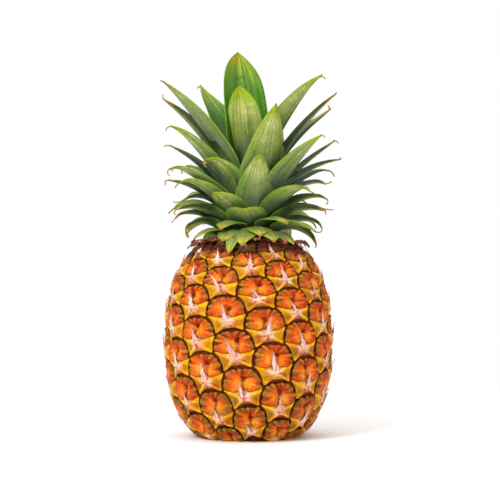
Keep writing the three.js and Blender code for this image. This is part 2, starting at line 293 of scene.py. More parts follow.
def polar(flat_disc: Thing) -> tuple[Points, Points]:
    """Returns each vertex's share of the disc's radius and its turn as a share of the circle."""
    x, y, _ = read_points(flat_disc).T
    return np.hypot(x, y), np.arctan2(y, x) / (2 * math.pi)


def grid(name: str, columns: int, rows: int) -> tuple[Thing, Points, Points]:
    """Models a flat grid, facing up, with its UV map.

    Args:
        name: The object's name.
        columns: How many cells lie across.
        rows: How many cells lie along.

    Returns:
        The grid, and each vertex's place across, from -1 to 1, and along, from 0 to 1.
    """
    deselect_all()
    cells = {"x_subdivisions": columns, "y_subdivisions": rows}
    bpy.ops.mesh.primitive_grid_add(size=2.0, location=(0, 0, 0), **cells)
    sheet = bpy.context.object
    sheet.name = name
    across, height, _ = read_points(sheet).T
    along = 0.5 * (height + 1.0)
    write_uv(sheet, 0.5 * (across + 1.0), along)
    return sheet, across, along


def spun(name: str, profile: list[Pair], steps: int) -> Thing:
    """Spins an outline round the upright axis into a closed body.

    Args:
        name: The object's name.
        profile: Radius and height in millimetres, from the axis at the foot round to the axis at the top.
        steps: How many steps go round.

    Returns:
        The body, with its faces pointing out.
    """
    deselect_all()
    bpy.ops.mesh.primitive_circle_add(vertices=len(profile), fill_type="NOTHING", location=(0, 0, 0))
    body = bpy.context.object
    body.name = name
    write_points(body, np.array([(radius, 0.0, height) for radius, height in profile]))
    ends = {0, len(profile) - 1}
    closing = next(edge.index for edge in body.data.edges if set(edge.vertices) == ends)
    bpy.ops.object.mode_set(mode="EDIT")
    bpy.ops.mesh.select_all(action="DESELECT")
    bpy.ops.object.mode_set(mode="OBJECT")
    body.data.edges[closing].select = True
    bpy.ops.object.mode_set(mode="EDIT")
    bpy.ops.mesh.select_mode(type="EDGE")
    bpy.ops.mesh.delete(type="EDGE_FACE")
    bpy.ops.mesh.select_all(action="SELECT")
    bpy.ops.mesh.spin(steps=steps, angle=2 * math.pi, center=(0, 0, 0), axis=(0, 0, 1))
    bpy.ops.mesh.select_all(action="SELECT")
    bpy.ops.mesh.remove_doubles(threshold=0.01 * MM)
    bpy.ops.mesh.normals_make_consistent(inside=False)
    bpy.ops.object.mode_set(mode="OBJECT")
    return body


def solidify(thing: Thing, thickness: float, back: int = 0, thinnest: float = 0.3) -> None:
    """Gives a sheet its thickness and applies it.

    Args:
        thing: The sheet, whose vertex group, where it has one, says how thick it is.
        thickness: The wall's thickness in millimetres where the vertex group is full.
        back: How many material slots further on the back face is.
        thinnest: The share of the thickness where the vertex group is empty.
    """
    select_only(thing)
    wall = thing.modifiers.new("wall", "SOLIDIFY")
    wall.thickness = thickness * MM
    wall.offset = 0.0
    wall.material_offset = back
    if thing.vertex_groups:
        wall.vertex_group = thing.vertex_groups[0].name
        wall.thickness_vertex_group = thinnest
    bpy.ops.object.modifier_apply(modifier=wall.name)


def settle(thing: Thing, slot: str, nodes: list[str], sharp: float, *finishes: "Finish") -> None:
    """Smooths and dresses a finished piece, gives it its body, and keeps it in the part's box.

    Args:
        thing: The finished piece.
        slot: The record's slot; not used.
        nodes: The solids that it stands for.
        sharp: Degrees above which an edge stays sharp.
        finishes: Its finishes, where it has none yet.
    """
    smooth(thing, sharp)
    for finish in finishes:
        thing.data.materials.append(finish.build())
    low, high = (np.array(corner) / MM for corner in SOLID_BOX)
    write_points(thing, np.clip(read_points(thing) / MM, low, high))
    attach(thing, "root")
    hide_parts(*nodes)
    thing.data.calc_loop_triangles()
    LOG.info("%s: %d triangles", thing.name, len(thing.data.loop_triangles))


# ---- helpers for materials ----


def linear(hex_colour: str) -> tuple[float, float, float, float]:
    """Turns an sRGB colour linear.

    Args:
        hex_colour: The colour, such as #c08040.

    Returns:
        Its linear red, green and blue, and an alpha of 1.
    """
    shares = [int(hex_colour[digit : digit + 2], 16) / 255 for digit in (1, 3, 5)]
    red, green, blue = (s / 12.92 if s <= 0.04045 else ((s + 0.055) / 1.055) ** 2.4 for s in shares)
    return red, green, blue, 1.0


def add_node(
    tree: Tree,
    kind: str,
    settings: dict[str, Any] | None = None,
    links: dict[str, Socket] | None = None,
    stops: Stops | None = None,
) -> Socket:
    """Adds one node with its settings and links.

    Args:
        tree: The node tree.
        kind: The node's type name, without the ShaderNode in front.
        settings: Values by the name of the node's property or the identifier of its input.
        links: Sockets to join, by the identifier of the input that each goes to.
        stops: A colour ramp's places and hex colours.

    Returns:
        The node's first output in use.
    """
    node = tree.nodes.new(f"ShaderNode{kind}")
    for name, value in (settings or {}).items():
        if hasattr(node, name):
            setattr(node, name, value)
    sockets = {socket.identifier: socket for socket in node.inputs}
    for name, value in (settings or {}).items():
        if not hasattr(node, name):
            sockets[name].default_value = value
    for name, source in (links or {}).items():
        tree.links.new(source, sockets[name])
    if stops:
        elements = node.color_ramp.elements
        while len(elements) < len(stops):
            elements.new(1.0)
        for element, (place, shade) in zip(elements, stops):
            element.position = place
            element.color = linear(shade)
    outputs = [socket for socket in node.outputs if socket.enabled]
    return outputs[0] if outputs else None


def read_place(tree: Tree) -> Socket:
    """Returns the place on the object, in metres, for a pattern to read."""
    return add_node(tree, "TexCoord").node.outputs["Object"]


def read_marks(tree: Tree, name: str) -> list[Socket]:
    """Returns the red, green and blue values that a piece's vertices hold under a name."""
    stored = add_node(tree, "Attribute", {"attribute_name": name})
    return list(add_node(tree, "SeparateColor", links={"Color": stored}).node.outputs)


def read_sheet(tree: Tree) -> tuple[Socket, Socket, Socket]:
    """Reads where a point lies on a leaf or a paper.

    Args:
        tree: The material's node tree.

    Returns:
        Its UV place, its distance from the middle line, 1 at the edge, and its way along.
    """
    uv = add_node(tree, "TexCoord").node.outputs["UV"]
    parts = add_node(tree, "SeparateXYZ", links={"Vector": uv}).node.outputs
    doubled = {"operation": "MULTIPLY_ADD", "Value_001": 2.0, "Value_002": -1.0}
    side = add_node(tree, "Math", doubled, {"Value": parts["X"]})
    return uv, add_node(tree, "Math", {"operation": "ABSOLUTE"}, {"Value": side}), parts["Y"]


def read_seed(tree: Tree, mark: Socket) -> Socket:
    """Spreads a piece's own number from 0 to 1 so far that its noise differs from its neighbours'."""
    return add_node(tree, "Math", {"operation": "MULTIPLY", "Value_001": 90.0}, {"Value": mark})


def coated(tree: Tree, colour: Socket, *coats: tuple[Socket, str]) -> Socket:
    """Lays coats over a colour, one after another.

    Args:
        tree: The material's node tree.
        colour: The colour underneath.
        coats: Each coat's cover, from 0 to 1, and its hex colour.

    Returns:
        The colour with its coats.
    """
    for cover, shade in coats:
        settings = {"data_type": "RGBA", "B_Color": linear(shade)}
        colour = add_node(tree, "Mix", settings, {"Factor_Float": cover, "A_Color": colour})
    return colour


def blotched(
    tree: Tree, colour: Socket, patches: Socket, *blotches: tuple[Socket, float, float, str]
) -> Socket:
    """Lays blotches over a colour, uneven where a noise says so.

    Args:
        tree: The material's node tree.
        colour: The colour underneath.
        patches: The noise.
        blotches: Each one's mark, the gain and start that sharpen the noise, and its hex colour.

    Returns:
        The blotched colour.
    """
    for mark, gain, start, shade in blotches:
        sharpened = {"operation": "MULTIPLY_ADD", "Value_001": gain, "Value_002": start}
        patch = add_node(tree, "Math", sharpened, {"Value": patches})
        held = {"operation": "MULTIPLY", "use_clamp": True}
        cover = add_node(tree, "Math", held, {"Value": mark, "Value_001": patch})
        colour = coated(tree, colour, (cover, shade))
    return colour


def grained(tree: Tree, colour: Socket, size: float, stops: Stops, share: float) -> Socket:
    """Darkens a colour with the grain of its pores.

    Args:
        tree: The material's node tree.
        colour: The colour.
        size: The grain's size in millimetres, as fine as still shows.
        stops: The ramp from the pores' colour to white.
        share: How much of it shows.

    Returns:
        The grained colour.
    """
    place = read_place(tree)
    settings = {"Scale": 1 / (size * MM), "Detail": 3.0, "Roughness": 0.7}
    pores = add_node(tree, "TexNoise", settings, {"Vector": place})
    grain = add_node(tree, "ValToRGB", links={"Fac": pores}, stops=stops)
    darkened = {"data_type": "RGBA", "blend_type": "MULTIPLY", "Factor_Float": share}
    return add_node(tree, "Mix", darkened, {"A_Color": colour, "B_Color": grain})


@dataclass(frozen=True)
class Finish:
    """A surface: its name, its shader's constants and its wrinkles, whose sizes are millimetres."""

    name: str
    roughness: float = 0.5
    specular: float = 0.5
    subsurface: float = 0.0
    light_depth: float = 2.5
    coat: float = 0.0
    coat_roughness: float = 0.22
    wrinkle_size: float = 0.0
    wrinkle_height: float = 0.0
    wrinkle_curl: float = 0.0

    def colour(self, tree: Tree) -> Socket:
        """Builds the colour; each finish has its own."""
        raise NotImplementedError

    def relief(self, tree: Tree) -> Socket | None:
        """Builds the wrinkles.

        Args:
            tree: The material's node tree.

        Returns:
            The bumped normal, or None for a plain surface.
        """
        if not self.wrinkle_size:
            return None
        place = read_place(tree)
        settings = {"Scale": 1 / (self.wrinkle_size * MM), "Detail": 4.0, "Roughness": 0.6}
        noise = add_node(tree, "TexNoise", settings | {"Distortion": self.wrinkle_curl}, {"Vector": place})
        height = {"Strength": 1.0, "Distance": self.wrinkle_height * MM}
        return add_node(tree, "Bump", height, {"Height": noise})

    def build(self) -> bpy.types.Material:
        """Makes the material.

        Returns:
            The material, ready to be assigned.
        """
        material = bpy.data.materials.new(self.name)
        material.use_nodes = True
        tree = material.node_tree
        tree.nodes.clear()
        links = {"Base Color": self.colour(tree)}
        normal = self.relief(tree)
        if normal:
            links["Normal"] = normal
        constants = {
            "Roughness": self.roughness,
            "Specular IOR Level": self.specular,
            "Subsurface Weight": self.subsurface,
            "Subsurface Scale": self.light_depth * MM,
            "Coat Weight": self.coat,
            "Coat Roughness": self.coat_roughness,
        }
        shader = add_node(tree, "BsdfPrincipled", constants, links)
        add_node(tree, "OutputMaterial", links={"Surface": shader})
        return material


# ---- the barrel and the pattern of its eyes ----


@dataclass(frozen=True)
class Barrel:
    """The fruit's body of revolution, whose crests follow a superellipse; sizes in millimetres."""

    radius: float = 60.0
    girth_height: float = 68.0
    half_height: float = 74.5
    power: float = 2.2
    roundness: float = 0.31
    top: float = 138.5
    steps: int = 900
    pole_share: float = 0.001
    least_radius: float = 0.5

    def radius_at(self, height: Any) -> Any:
        """Returns the crest's radius at a height."""
        share = np.minimum(1.0, np.abs(height - self.girth_height) / self.half_height)
        return self.radius * (1.0 - share**self.power) ** self.roundness

    def shoulder_at(self, radius: Any) -> Any:
        """Returns the height of the fruit's shoulder at a radius."""
        share = (1.0 - np.minimum(1.0, radius / self.radius) ** (1.0 / self.roundness)) ** (1.0 / self.power)
        return np.minimum(self.top, self.girth_height + self.half_height * share)

    @cached_property
    def outline(self) -> dict[str, Points]:
        """The outline from the crown end to the base.

        Returns:
            The arc length, the radius and height there, and how fast each of them grows with it.
        """
        turn = np.linspace(0.0, math.pi, self.steps + 1)
        height = (self.girth_height + self.half_height) * (0.5 + 0.5 * np.cos(turn))
        radius = self.radius_at(height)
        arc = np.concatenate([[0.0], np.cumsum(np.hypot(np.diff(radius), np.diff(height)))])
        slopes = {"dr": np.gradient(radius, arc), "dz": np.gradient(height, arc)}
        return {"arc": arc, "r": radius, "z": height} | slopes

    def place(self, turn: Any, arc: Any, rise: Any) -> Points:
        """Finds points on the barrel.

        Args:
            turn: Turn from the front towards the right, in radians.
            arc: Way along the outline from the crown end.
            rise: Height over the crests.

        Returns:
            Rows of x, y and z in millimetres.
        """
        line = self.outline
        whole = line["arc"][-1]
        inside = np.clip(arc, self.pole_share * whole, (1.0 - self.pole_share) * whole)
        beyond = np.maximum(0.0, arc - whole)
        out, down = (np.interp(inside, line["arc"], line[key]) for key in ("dr", "dz"))
        radius = np.interp(arc, line["arc"], line["r"]) + beyond * out - rise * down
        height = np.interp(arc, line["arc"], line["z"]) + beyond * down + rise * out
        radius = np.maximum(self.least_radius, radius)
        return np.stack([radius * np.sin(turn), -radius * np.cos(turn), height], axis=1)


@dataclass(frozen=True)
class Eye:
    """One eye: its pair on the spiral and which of the pair's two opposite eyes it is."""

    pair: int
    half: int


@dataclass(frozen=True)
class EyeLattice:
    """The spiral pattern of the eyes: opposite pairs that step round and down the barrel."""

    barrel: Barrel = field(default_factory=Barrel)
    pair_turn: float = 68.14
    first_turn: float = 11.8
    middle_arc: float = 104.2
    drop: float = 2.97
    drop_growth: float = 0.0138
    relief: float = 2.6
    above: int = 32
    below: int = 28
    front_spread: float = 5.0
    spread_offset: float = -1.5
    top_gap: float = 0.2
    eye_middle: float = 5.0
    olive_below: Pair = (12.0, 62.0)
    olive_above: Pair = (92.0, 128.0)

    def eyes(self, bare_top: int = 0, bare_base: int = 0) -> list[Eye]:
        """Returns the eyes from the crown end down, without some pairs at the top and the base."""
        pairs = range(bare_top - self.above, self.below - bare_base + 1)
        return [Eye(pair, half) for pair in pairs for half in (0, 1)]

    def arc_of(self, pair: Any) -> Any:
        """Returns a pair's way along the outline."""
        return self.middle_arc + self.drop * pair + self.drop_growth * pair * pair

    def place(self, eye: Eye, x: Points, y: Points, rise: Points) -> Points:
        """Finds points of one eye.

        Args:
            eye: The eye.
            x: Millimetres to the right at the girth.
            y: Millimetres up from the line where cap and bract meet.
            rise: Millimetres over the groove between the eyes.

        Returns:
            Rows of x, y and z in millimetres.
        """
        turn = np.radians(self.first_turn + self.pair_turn * eye.pair + 180.0 * eye.half)
        turn = turn + x / self.barrel.radius
        turn = turn + np.radians(self.front_spread * np.sin(turn) + self.spread_offset)
        return self.barrel.place(turn, self.arc_of(eye.pair - y / self.drop), rise - self.relief)

    def fitted(self, eye: Eye, x: Points, y: Points, rise: Points, floor: float) -> Points:
        """Finds points of one eye that stay over the base and under the fruit's cut top.

        Args:
            eye: The eye.
            x: Millimetres to the right at the girth.
            y: Millimetres up from the line where cap and bract meet.
            rise: Millimetres over the groove between the eyes.
            floor: The least height.

        Returns:
            Rows of x, y and z in millimetres.
        """
        points = self.place(eye, x, y, rise)
        points[:, 2] = np.clip(points[:, 2], floor, self.barrel.top - self.top_gap)
        return points

    def warmth(self, eye: Eye, draw: Draw) -> float:
        """Says how orange an eye is: most at the middle of the fruit, olive at its ends.

        Args:
            eye: The eye.
            draw: The source of the small differences.

        Returns:
            A share from 0 to 1.
        """
        height = float(self.place(eye, np.zeros(1), np.full(1, self.eye_middle), np.zeros(1))[0, 2])
        share = lerp(0.35, 1.0, smoothstep(*self.olive_below, height))
        share *= 1.0 - 0.75 * smoothstep(*self.olive_above, height)
        return float(np.clip(share + draw.normal(0.0, 0.16), 0.0, 1.0))


# ---- finishes of the fruit ----


@dataclass(frozen=True)
class Rind(Finish):
    """The fruit's living rind, which turns dark maroon brown at its top, under the crown and collar;
    millimetres.
    """

    drift_size: float = 5.0
    blotch_size: float = 3.0
    blotch_roughness: float = 0.6
    # Dark maroon brown laid over the rind's top, from a height up.
    dry: str = "#3a1410"
    dark_top_start: float = 130.0
    dark_top_full: float = 134.0
    dark_top_unevenness: float = 10.0
    dark_top_patch_size: float = 8.333
    dark_top_cover: float = 0.88

    def noises(self, tree: Tree) -> list[Socket]:
        """Builds the slow drift of the rind's colour and the finer noise of its blotches.

        Args:
            tree: The material's node tree.

        Returns:
            The drift and the blotches' noise.
        """
        place = read_place(tree)
        built = []
        for size, roughness in ((self.drift_size, 0.65), (self.blotch_size, self.blotch_roughness)):
            settings = {"Scale": 1 / (size * MM), "Detail": 4.0, "Roughness": roughness}
            built.append(add_node(tree, "TexNoise", settings, {"Vector": place}))
        return built

    def darkened_top(self, tree: Tree, colour: Socket) -> Socket:
        """Lays a dark maroon brown over the rind's top, unevenly from a height up.

        Args:
            tree: The material's node tree.
            colour: The rind's colour.

        Returns:
            The colour, darker at the top.
        """
        place = read_place(tree)
        height = add_node(tree, "SeparateXYZ", links={"Vector": place}).node.outputs["Z"]
        settings = {"Scale": 1 / (self.dark_top_patch_size * MM), "Detail": 3.0}
        noise = add_node(tree, "TexNoise", settings, {"Vector": place})
        raised = {"operation": "MULTIPLY_ADD", "Value_001": self.dark_top_unevenness * MM}
        uneven = add_node(tree, "Math", raised, {"Value": noise, "Value_002": height})
        span = {"From Min": self.dark_top_start * MM, "From Max": self.dark_top_full * MM, "To Max": self.dark_top_cover}
        return coated(tree, colour, (add_node(tree, "MapRange", span, {"Value": uneven}), self.dry))


@dataclass(frozen=True)
class CapRind(Rind):
    """Ripe waxed rind over a fruitlet: a soft sheen over orange that turns olive gold at the rim."""

    wrinkle_size: float = 3.03
    wrinkle_height: float = 2.6
    wrinkle_curl: float = 0.6
    drift_size: float = 6.667
    blotch_size: float = 3.333
    pore_size: float = 1.25
    # Rings from the pit out to the rim; the yellow orange at the middle is partly painted highlight.
    warm: Stops = (
        (0.0, "#ffa01e"), (0.34, "#fe7a04"), (0.58, "#f84e00"), (0.74, "#e45c02"),
        (0.85, "#a86a0c"), (0.95, "#a87c24"), (0.975, "#5c1406"),
    )
    olive: Stops = (
        (0.0, "#fc961a"), (0.34, "#f46c02"), (0.5, "#dc4c02"), (0.66, "#a05a08"),
        (0.82, "#74580e"), (0.95, "#8c7426"), (0.975, "#481006"),
    )
    blush: str = "#c01404"
    # Colour of the painted highlights on the lobes and on the petals' crests.
    glow: str = "#ffc036"
    # Colour of the painted shade in the furrows, the pit, the troughs of the pleats and petals and under the
    # hem.
    furrow: str = "#6e1c04"
    pores: Stops = ((0.34, "#7c5034"), (0.56, WHITE))

    def colour(self, tree: Tree) -> Socket:
        """Builds the rings of colour, the blotches with their painted highlights and painted shade, the
        pores and the dark top.

        Args:
            tree: The material's node tree.

        Returns:
            The colour.
        """
        rim, red, dark = read_marks(tree, "mask")
        warmth, _, glow = read_marks(tree, "tone")
        drift, patches = self.noises(tree)
        centred = {"operation": "MULTIPLY_ADD", "Value_001": 0.7, "Value_002": -0.35}
        shift = add_node(tree, "Math", centred, {"Value": drift})
        steadier = {"From Min": 0.88, "From Max": 0.96, "To Min": 1.0, "To Max": 0.22}
        inside = add_node(tree, "MapRange", steadier, {"Value": rim})
        moves = {"Value": shift, "Value_001": inside, "Value_002": rim}
        moved = add_node(tree, "Math", {"operation": "MULTIPLY_ADD"}, moves)
        warm = add_node(tree, "ValToRGB", links={"Fac": moved}, stops=self.warm)
        olive = add_node(tree, "ValToRGB", links={"Fac": moved}, stops=self.olive)
        shades = {"Factor_Float": warmth, "A_Color": olive, "B_Color": warm}
        colour = blotched(
            tree,
            add_node(tree, "Mix", {"data_type": "RGBA"}, shades),
            patches,
            # Painted highlights: the glow blotches.
            (glow, 2.6, -0.75, self.glow),
            (red, 2.8, -0.8, self.blush),
            # Painted shade: the dark blotches.
            (dark, 1.2, 0.4, self.furrow),
        )
        return self.darkened_top(tree, grained(tree, colour, self.pore_size, self.pores, 0.45))


@dataclass(frozen=True)
class BractRind(Rind):
    """Fresh leathery foot of a bract: yellow with little sheen, pale in its middle, olive below, with
    painted shade in its sunken facets.
    """

    wrinkle_size: float = 2.632
    wrinkle_height: float = 1.8
    drift_size: float = 5.0
    blotch_size: float = 2.381
    blotch_roughness: float = 0.7
    low: str = "#d07c02"
    arms: str = "#eca206"
    high: str = "#fac41c"
    # Dark ochre of the facets: partly the bract's olive colour, partly painted shade in the hollows between
    # the arms.
    facet: str = "#8c5a04"
    middle: str = "#f2c8b0"
    streak: str = "#b02c04"
    edge: str = "#5c1406"

    def colour(self, tree: Tree) -> Socket:
        """Builds the facets, partly olive and partly painted shade, the pale middle, the red streaks, the
        dark edge and the dark top.

        Args:
            tree: The material's node tree.

        Returns:
            The colour.
        """
        rim, facet, pale = read_marks(tree, "mask")
        streaks = read_marks(tree, "tone")[2]
        drift, patches = self.noises(tree)
        yellows = ((0.34, self.low), (0.5, self.arms), (0.64, self.high))
        colour = blotched(
            tree,
            add_node(tree, "ValToRGB", links={"Fac": drift}, stops=yellows),
            patches,
            (facet, 1.2, 0.45, self.facet),
            (pale, 1.4, 0.25, self.middle),
            (streaks, 3.0, -0.6, self.streak),
        )
        dark = add_node(tree, "ValToRGB", links={"Fac": rim}, stops=((0.93, BLACK), (0.995, WHITE)))
        return self.darkened_top(tree, coated(tree, colour, (dark, self.edge)))


@dataclass(frozen=True)
class DryPaper(Finish):
    """Dried papery bract: matt, streaked lengthwise, with darker edges and a brown point."""

    pale: str = "#deaea4"
    light: str = "#efd2ca"
    streak: str = "#9c4c3e"
    edge: str = "#a8503c"
    point: str = "#7c3c30"
    aged: str = "#c48a78"
    lines: float = 7.0
    line_breaks: float = 2.4

    def colour(self, tree: Tree) -> Socket:
        """Builds the lengthwise streaks, the age, the edge and the point.

        Args:
            tree: The material's node tree.

        Returns:
            The colour.
        """
        uv, out, along = read_sheet(tree)
        age, number, _ = read_marks(tree, "tone")
        drawn = add_node(tree, "Mapping", {"Scale": (self.lines, self.line_breaks, 1.0)}, {"Vector": uv})
        settings = {"noise_dimensions": "4D", "Scale": 1.0, "Detail": 3.0}
        noise = add_node(tree, "TexNoise", settings, {"Vector": drawn, "W": read_seed(tree, number)})
        papers = ((0.39, self.streak), (0.47, self.pale), (0.62, self.light))
        aged = add_node(tree, "MapRange", {"From Min": 0.55, "From Max": 1.0, "To Max": 0.8}, {"Value": age})
        edge = add_node(tree, "ValToRGB", links={"Fac": out}, stops=((0.66, BLACK), (0.98, "#dddddd")))
        point = add_node(tree, "ValToRGB", links={"Fac": along}, stops=((0.5, BLACK), (0.9, "#dddddd")))
        colour = add_node(tree, "ValToRGB", links={"Fac": noise}, stops=papers)
        return coated(tree, colour, (aged, self.aged), (edge, self.edge), (point, self.point))


@dataclass(frozen=True)
class Crease(Finish):
    """Dull rind at the bottom of the grooves: dark maroon, and dry fibrous brown on the flat base, darkened
    there with painted shade.
    """

    dark: str = "#541408"
    light: str = "#8a3212"
    # Dry brown of the base, darkened with painted shade under the fruit.
    base: str = "#4e3018"
    fibre: str = "#9a7444"
    mottle_size: float = 3.333
    fibres: float = 14.0
    base_height: float = 0.6
    rind_height: float = 2.0

    def colour(self, tree: Tree) -> Socket:
        """Builds the mottled maroon, which turns to radial brown fibres under the fruit.

        Args:
            tree: The material's node tree.

        Returns:
            The colour.
        """
        place = read_place(tree)
        mottling = {"Scale": 1 / (self.mottle_size * MM), "Detail": 3.0}
        noise = add_node(tree, "TexNoise", mottling, {"Vector": place})
        reds = ((0.35, self.dark), (0.7, self.light))
        maroon = add_node(tree, "ValToRGB", links={"Fac": noise}, stops=reds)
        parts = add_node(tree, "SeparateXYZ", links={"Vector": place}).node.outputs
        sides = {"Value": parts["Y"], "Value_001": parts["X"]}
        turn = add_node(tree, "Math", {"operation": "ARCTAN2"}, sides)
        radial = add_node(tree, "CombineXYZ", links={"X": turn, "Y": noise})
        settings = {"Scale": self.fibres, "Detail": 4.0, "Roughness": 0.7}
        strands = add_node(tree, "TexNoise", settings, {"Vector": radial})
        browns = ((0.4, self.base), (0.65, self.fibre))
        dry = add_node(tree, "ValToRGB", links={"Fac": strands}, stops=browns)
        fading = {"From Min": self.base_height * MM, "From Max": self.rind_height * MM}
        low = add_node(tree, "MapRange", fading | {"To Min": 1.0, "To Max": 0.0}, {"Value": parts["Z"]})
        shades = {"Factor_Float": low, "A_Color": maroon, "B_Color": dry}
        return add_node(tree, "Mix", {"data_type": "RGBA"}, shades)


# ---- the fruit ----


@dataclass(frozen=True)
class GrooveSkin:
    """The dark skin that closes the grooves, with the stalk's socket and the crown's seat."""

    lattice: EyeLattice
    sink: float = 0.5
    steps: int = 96
    rows: int = 46
    base_lift: float = 0.35
    base_inset: float = 2.0
    seat_radius: float = 17.0
    seat_floor: float = 133.5
    seat_rim_drop: float = 0.4
    socket_radius: float = 12.8
    socket_roof: float = 6.3

    def build(self) -> None:
        """Spins the skin and dresses it."""
        barrel = self.lattice.barrel
        depth = self.lattice.relief + self.sink
        arcs = np.linspace(barrel.outline["arc"][-1], 0.0, self.rows)
        wall = [(-y, z) for _, y, z in barrel.place(np.zeros_like(arcs), arcs, np.full_like(arcs, -depth))]
        profile = [
            (0.0, self.socket_roof),
            (self.socket_radius, self.socket_roof),
            (self.socket_radius, self.base_lift),
            (wall[0][0] - self.base_inset, self.base_lift),
            *((r, z) for r, z in wall if self.base_lift < z < barrel.top and r > self.seat_radius),
            (self.seat_radius, barrel.top - self.seat_rim_drop),
            (self.seat_radius, self.seat_floor),
            (0.0, self.seat_floor),
        ]
        skin = spun("groove_skin", profile, self.steps)
        rind = Crease("pineapple_groove_rind", roughness=0.7, specular=0.1)
        settle(skin, "fruit_skin", ["fruit"], 40.0, rind)


@dataclass(frozen=True)
class EyePiece:
    """A domed disc that is bent over every eye; its rings give share of the radius and rise."""

    lattice: EyeLattice
    middle: Pair
    outline: Pairs
    rings: Pairs
    spokes: int
    floor: float
    uv_span: float = 40.0

    def template(self, name: str) -> Thing:
        """Models the flat disc."""
        return disc(name, self.spokes, [share for share, _ in self.rings if share])

    def drawn_out(self, edge: Points, reach: Points) -> tuple[Points, Points]:
        """Returns x and y of points that lie a share of the way from the middle to the outline."""
        x, y = (self.middle[axis] + reach * (edge[:, axis] - self.middle[axis]) for axis in (0, 1))
        return x, y

    def dome(self, share: Points) -> Points:
        """Returns the rise of the rings at shares of the radius."""
        shares, rises = zip(*reversed(self.rings))
        return np.interp(share, shares, rises)

    def finish(self, template: Thing, copies: list[Thing], name: str, finish: Finish) -> None:
        """Joins the copies into one piece and dresses it.

        Args:
            template: The disc that they were copied from, which is taken away.
            copies: The bent copies.
            name: The piece's name.
            finish: Its finish.
        """
        remove(template)
        whole = join(copies, name)
        settle(whole, "fruit_skin", ["fruit"], 60.0, finish)


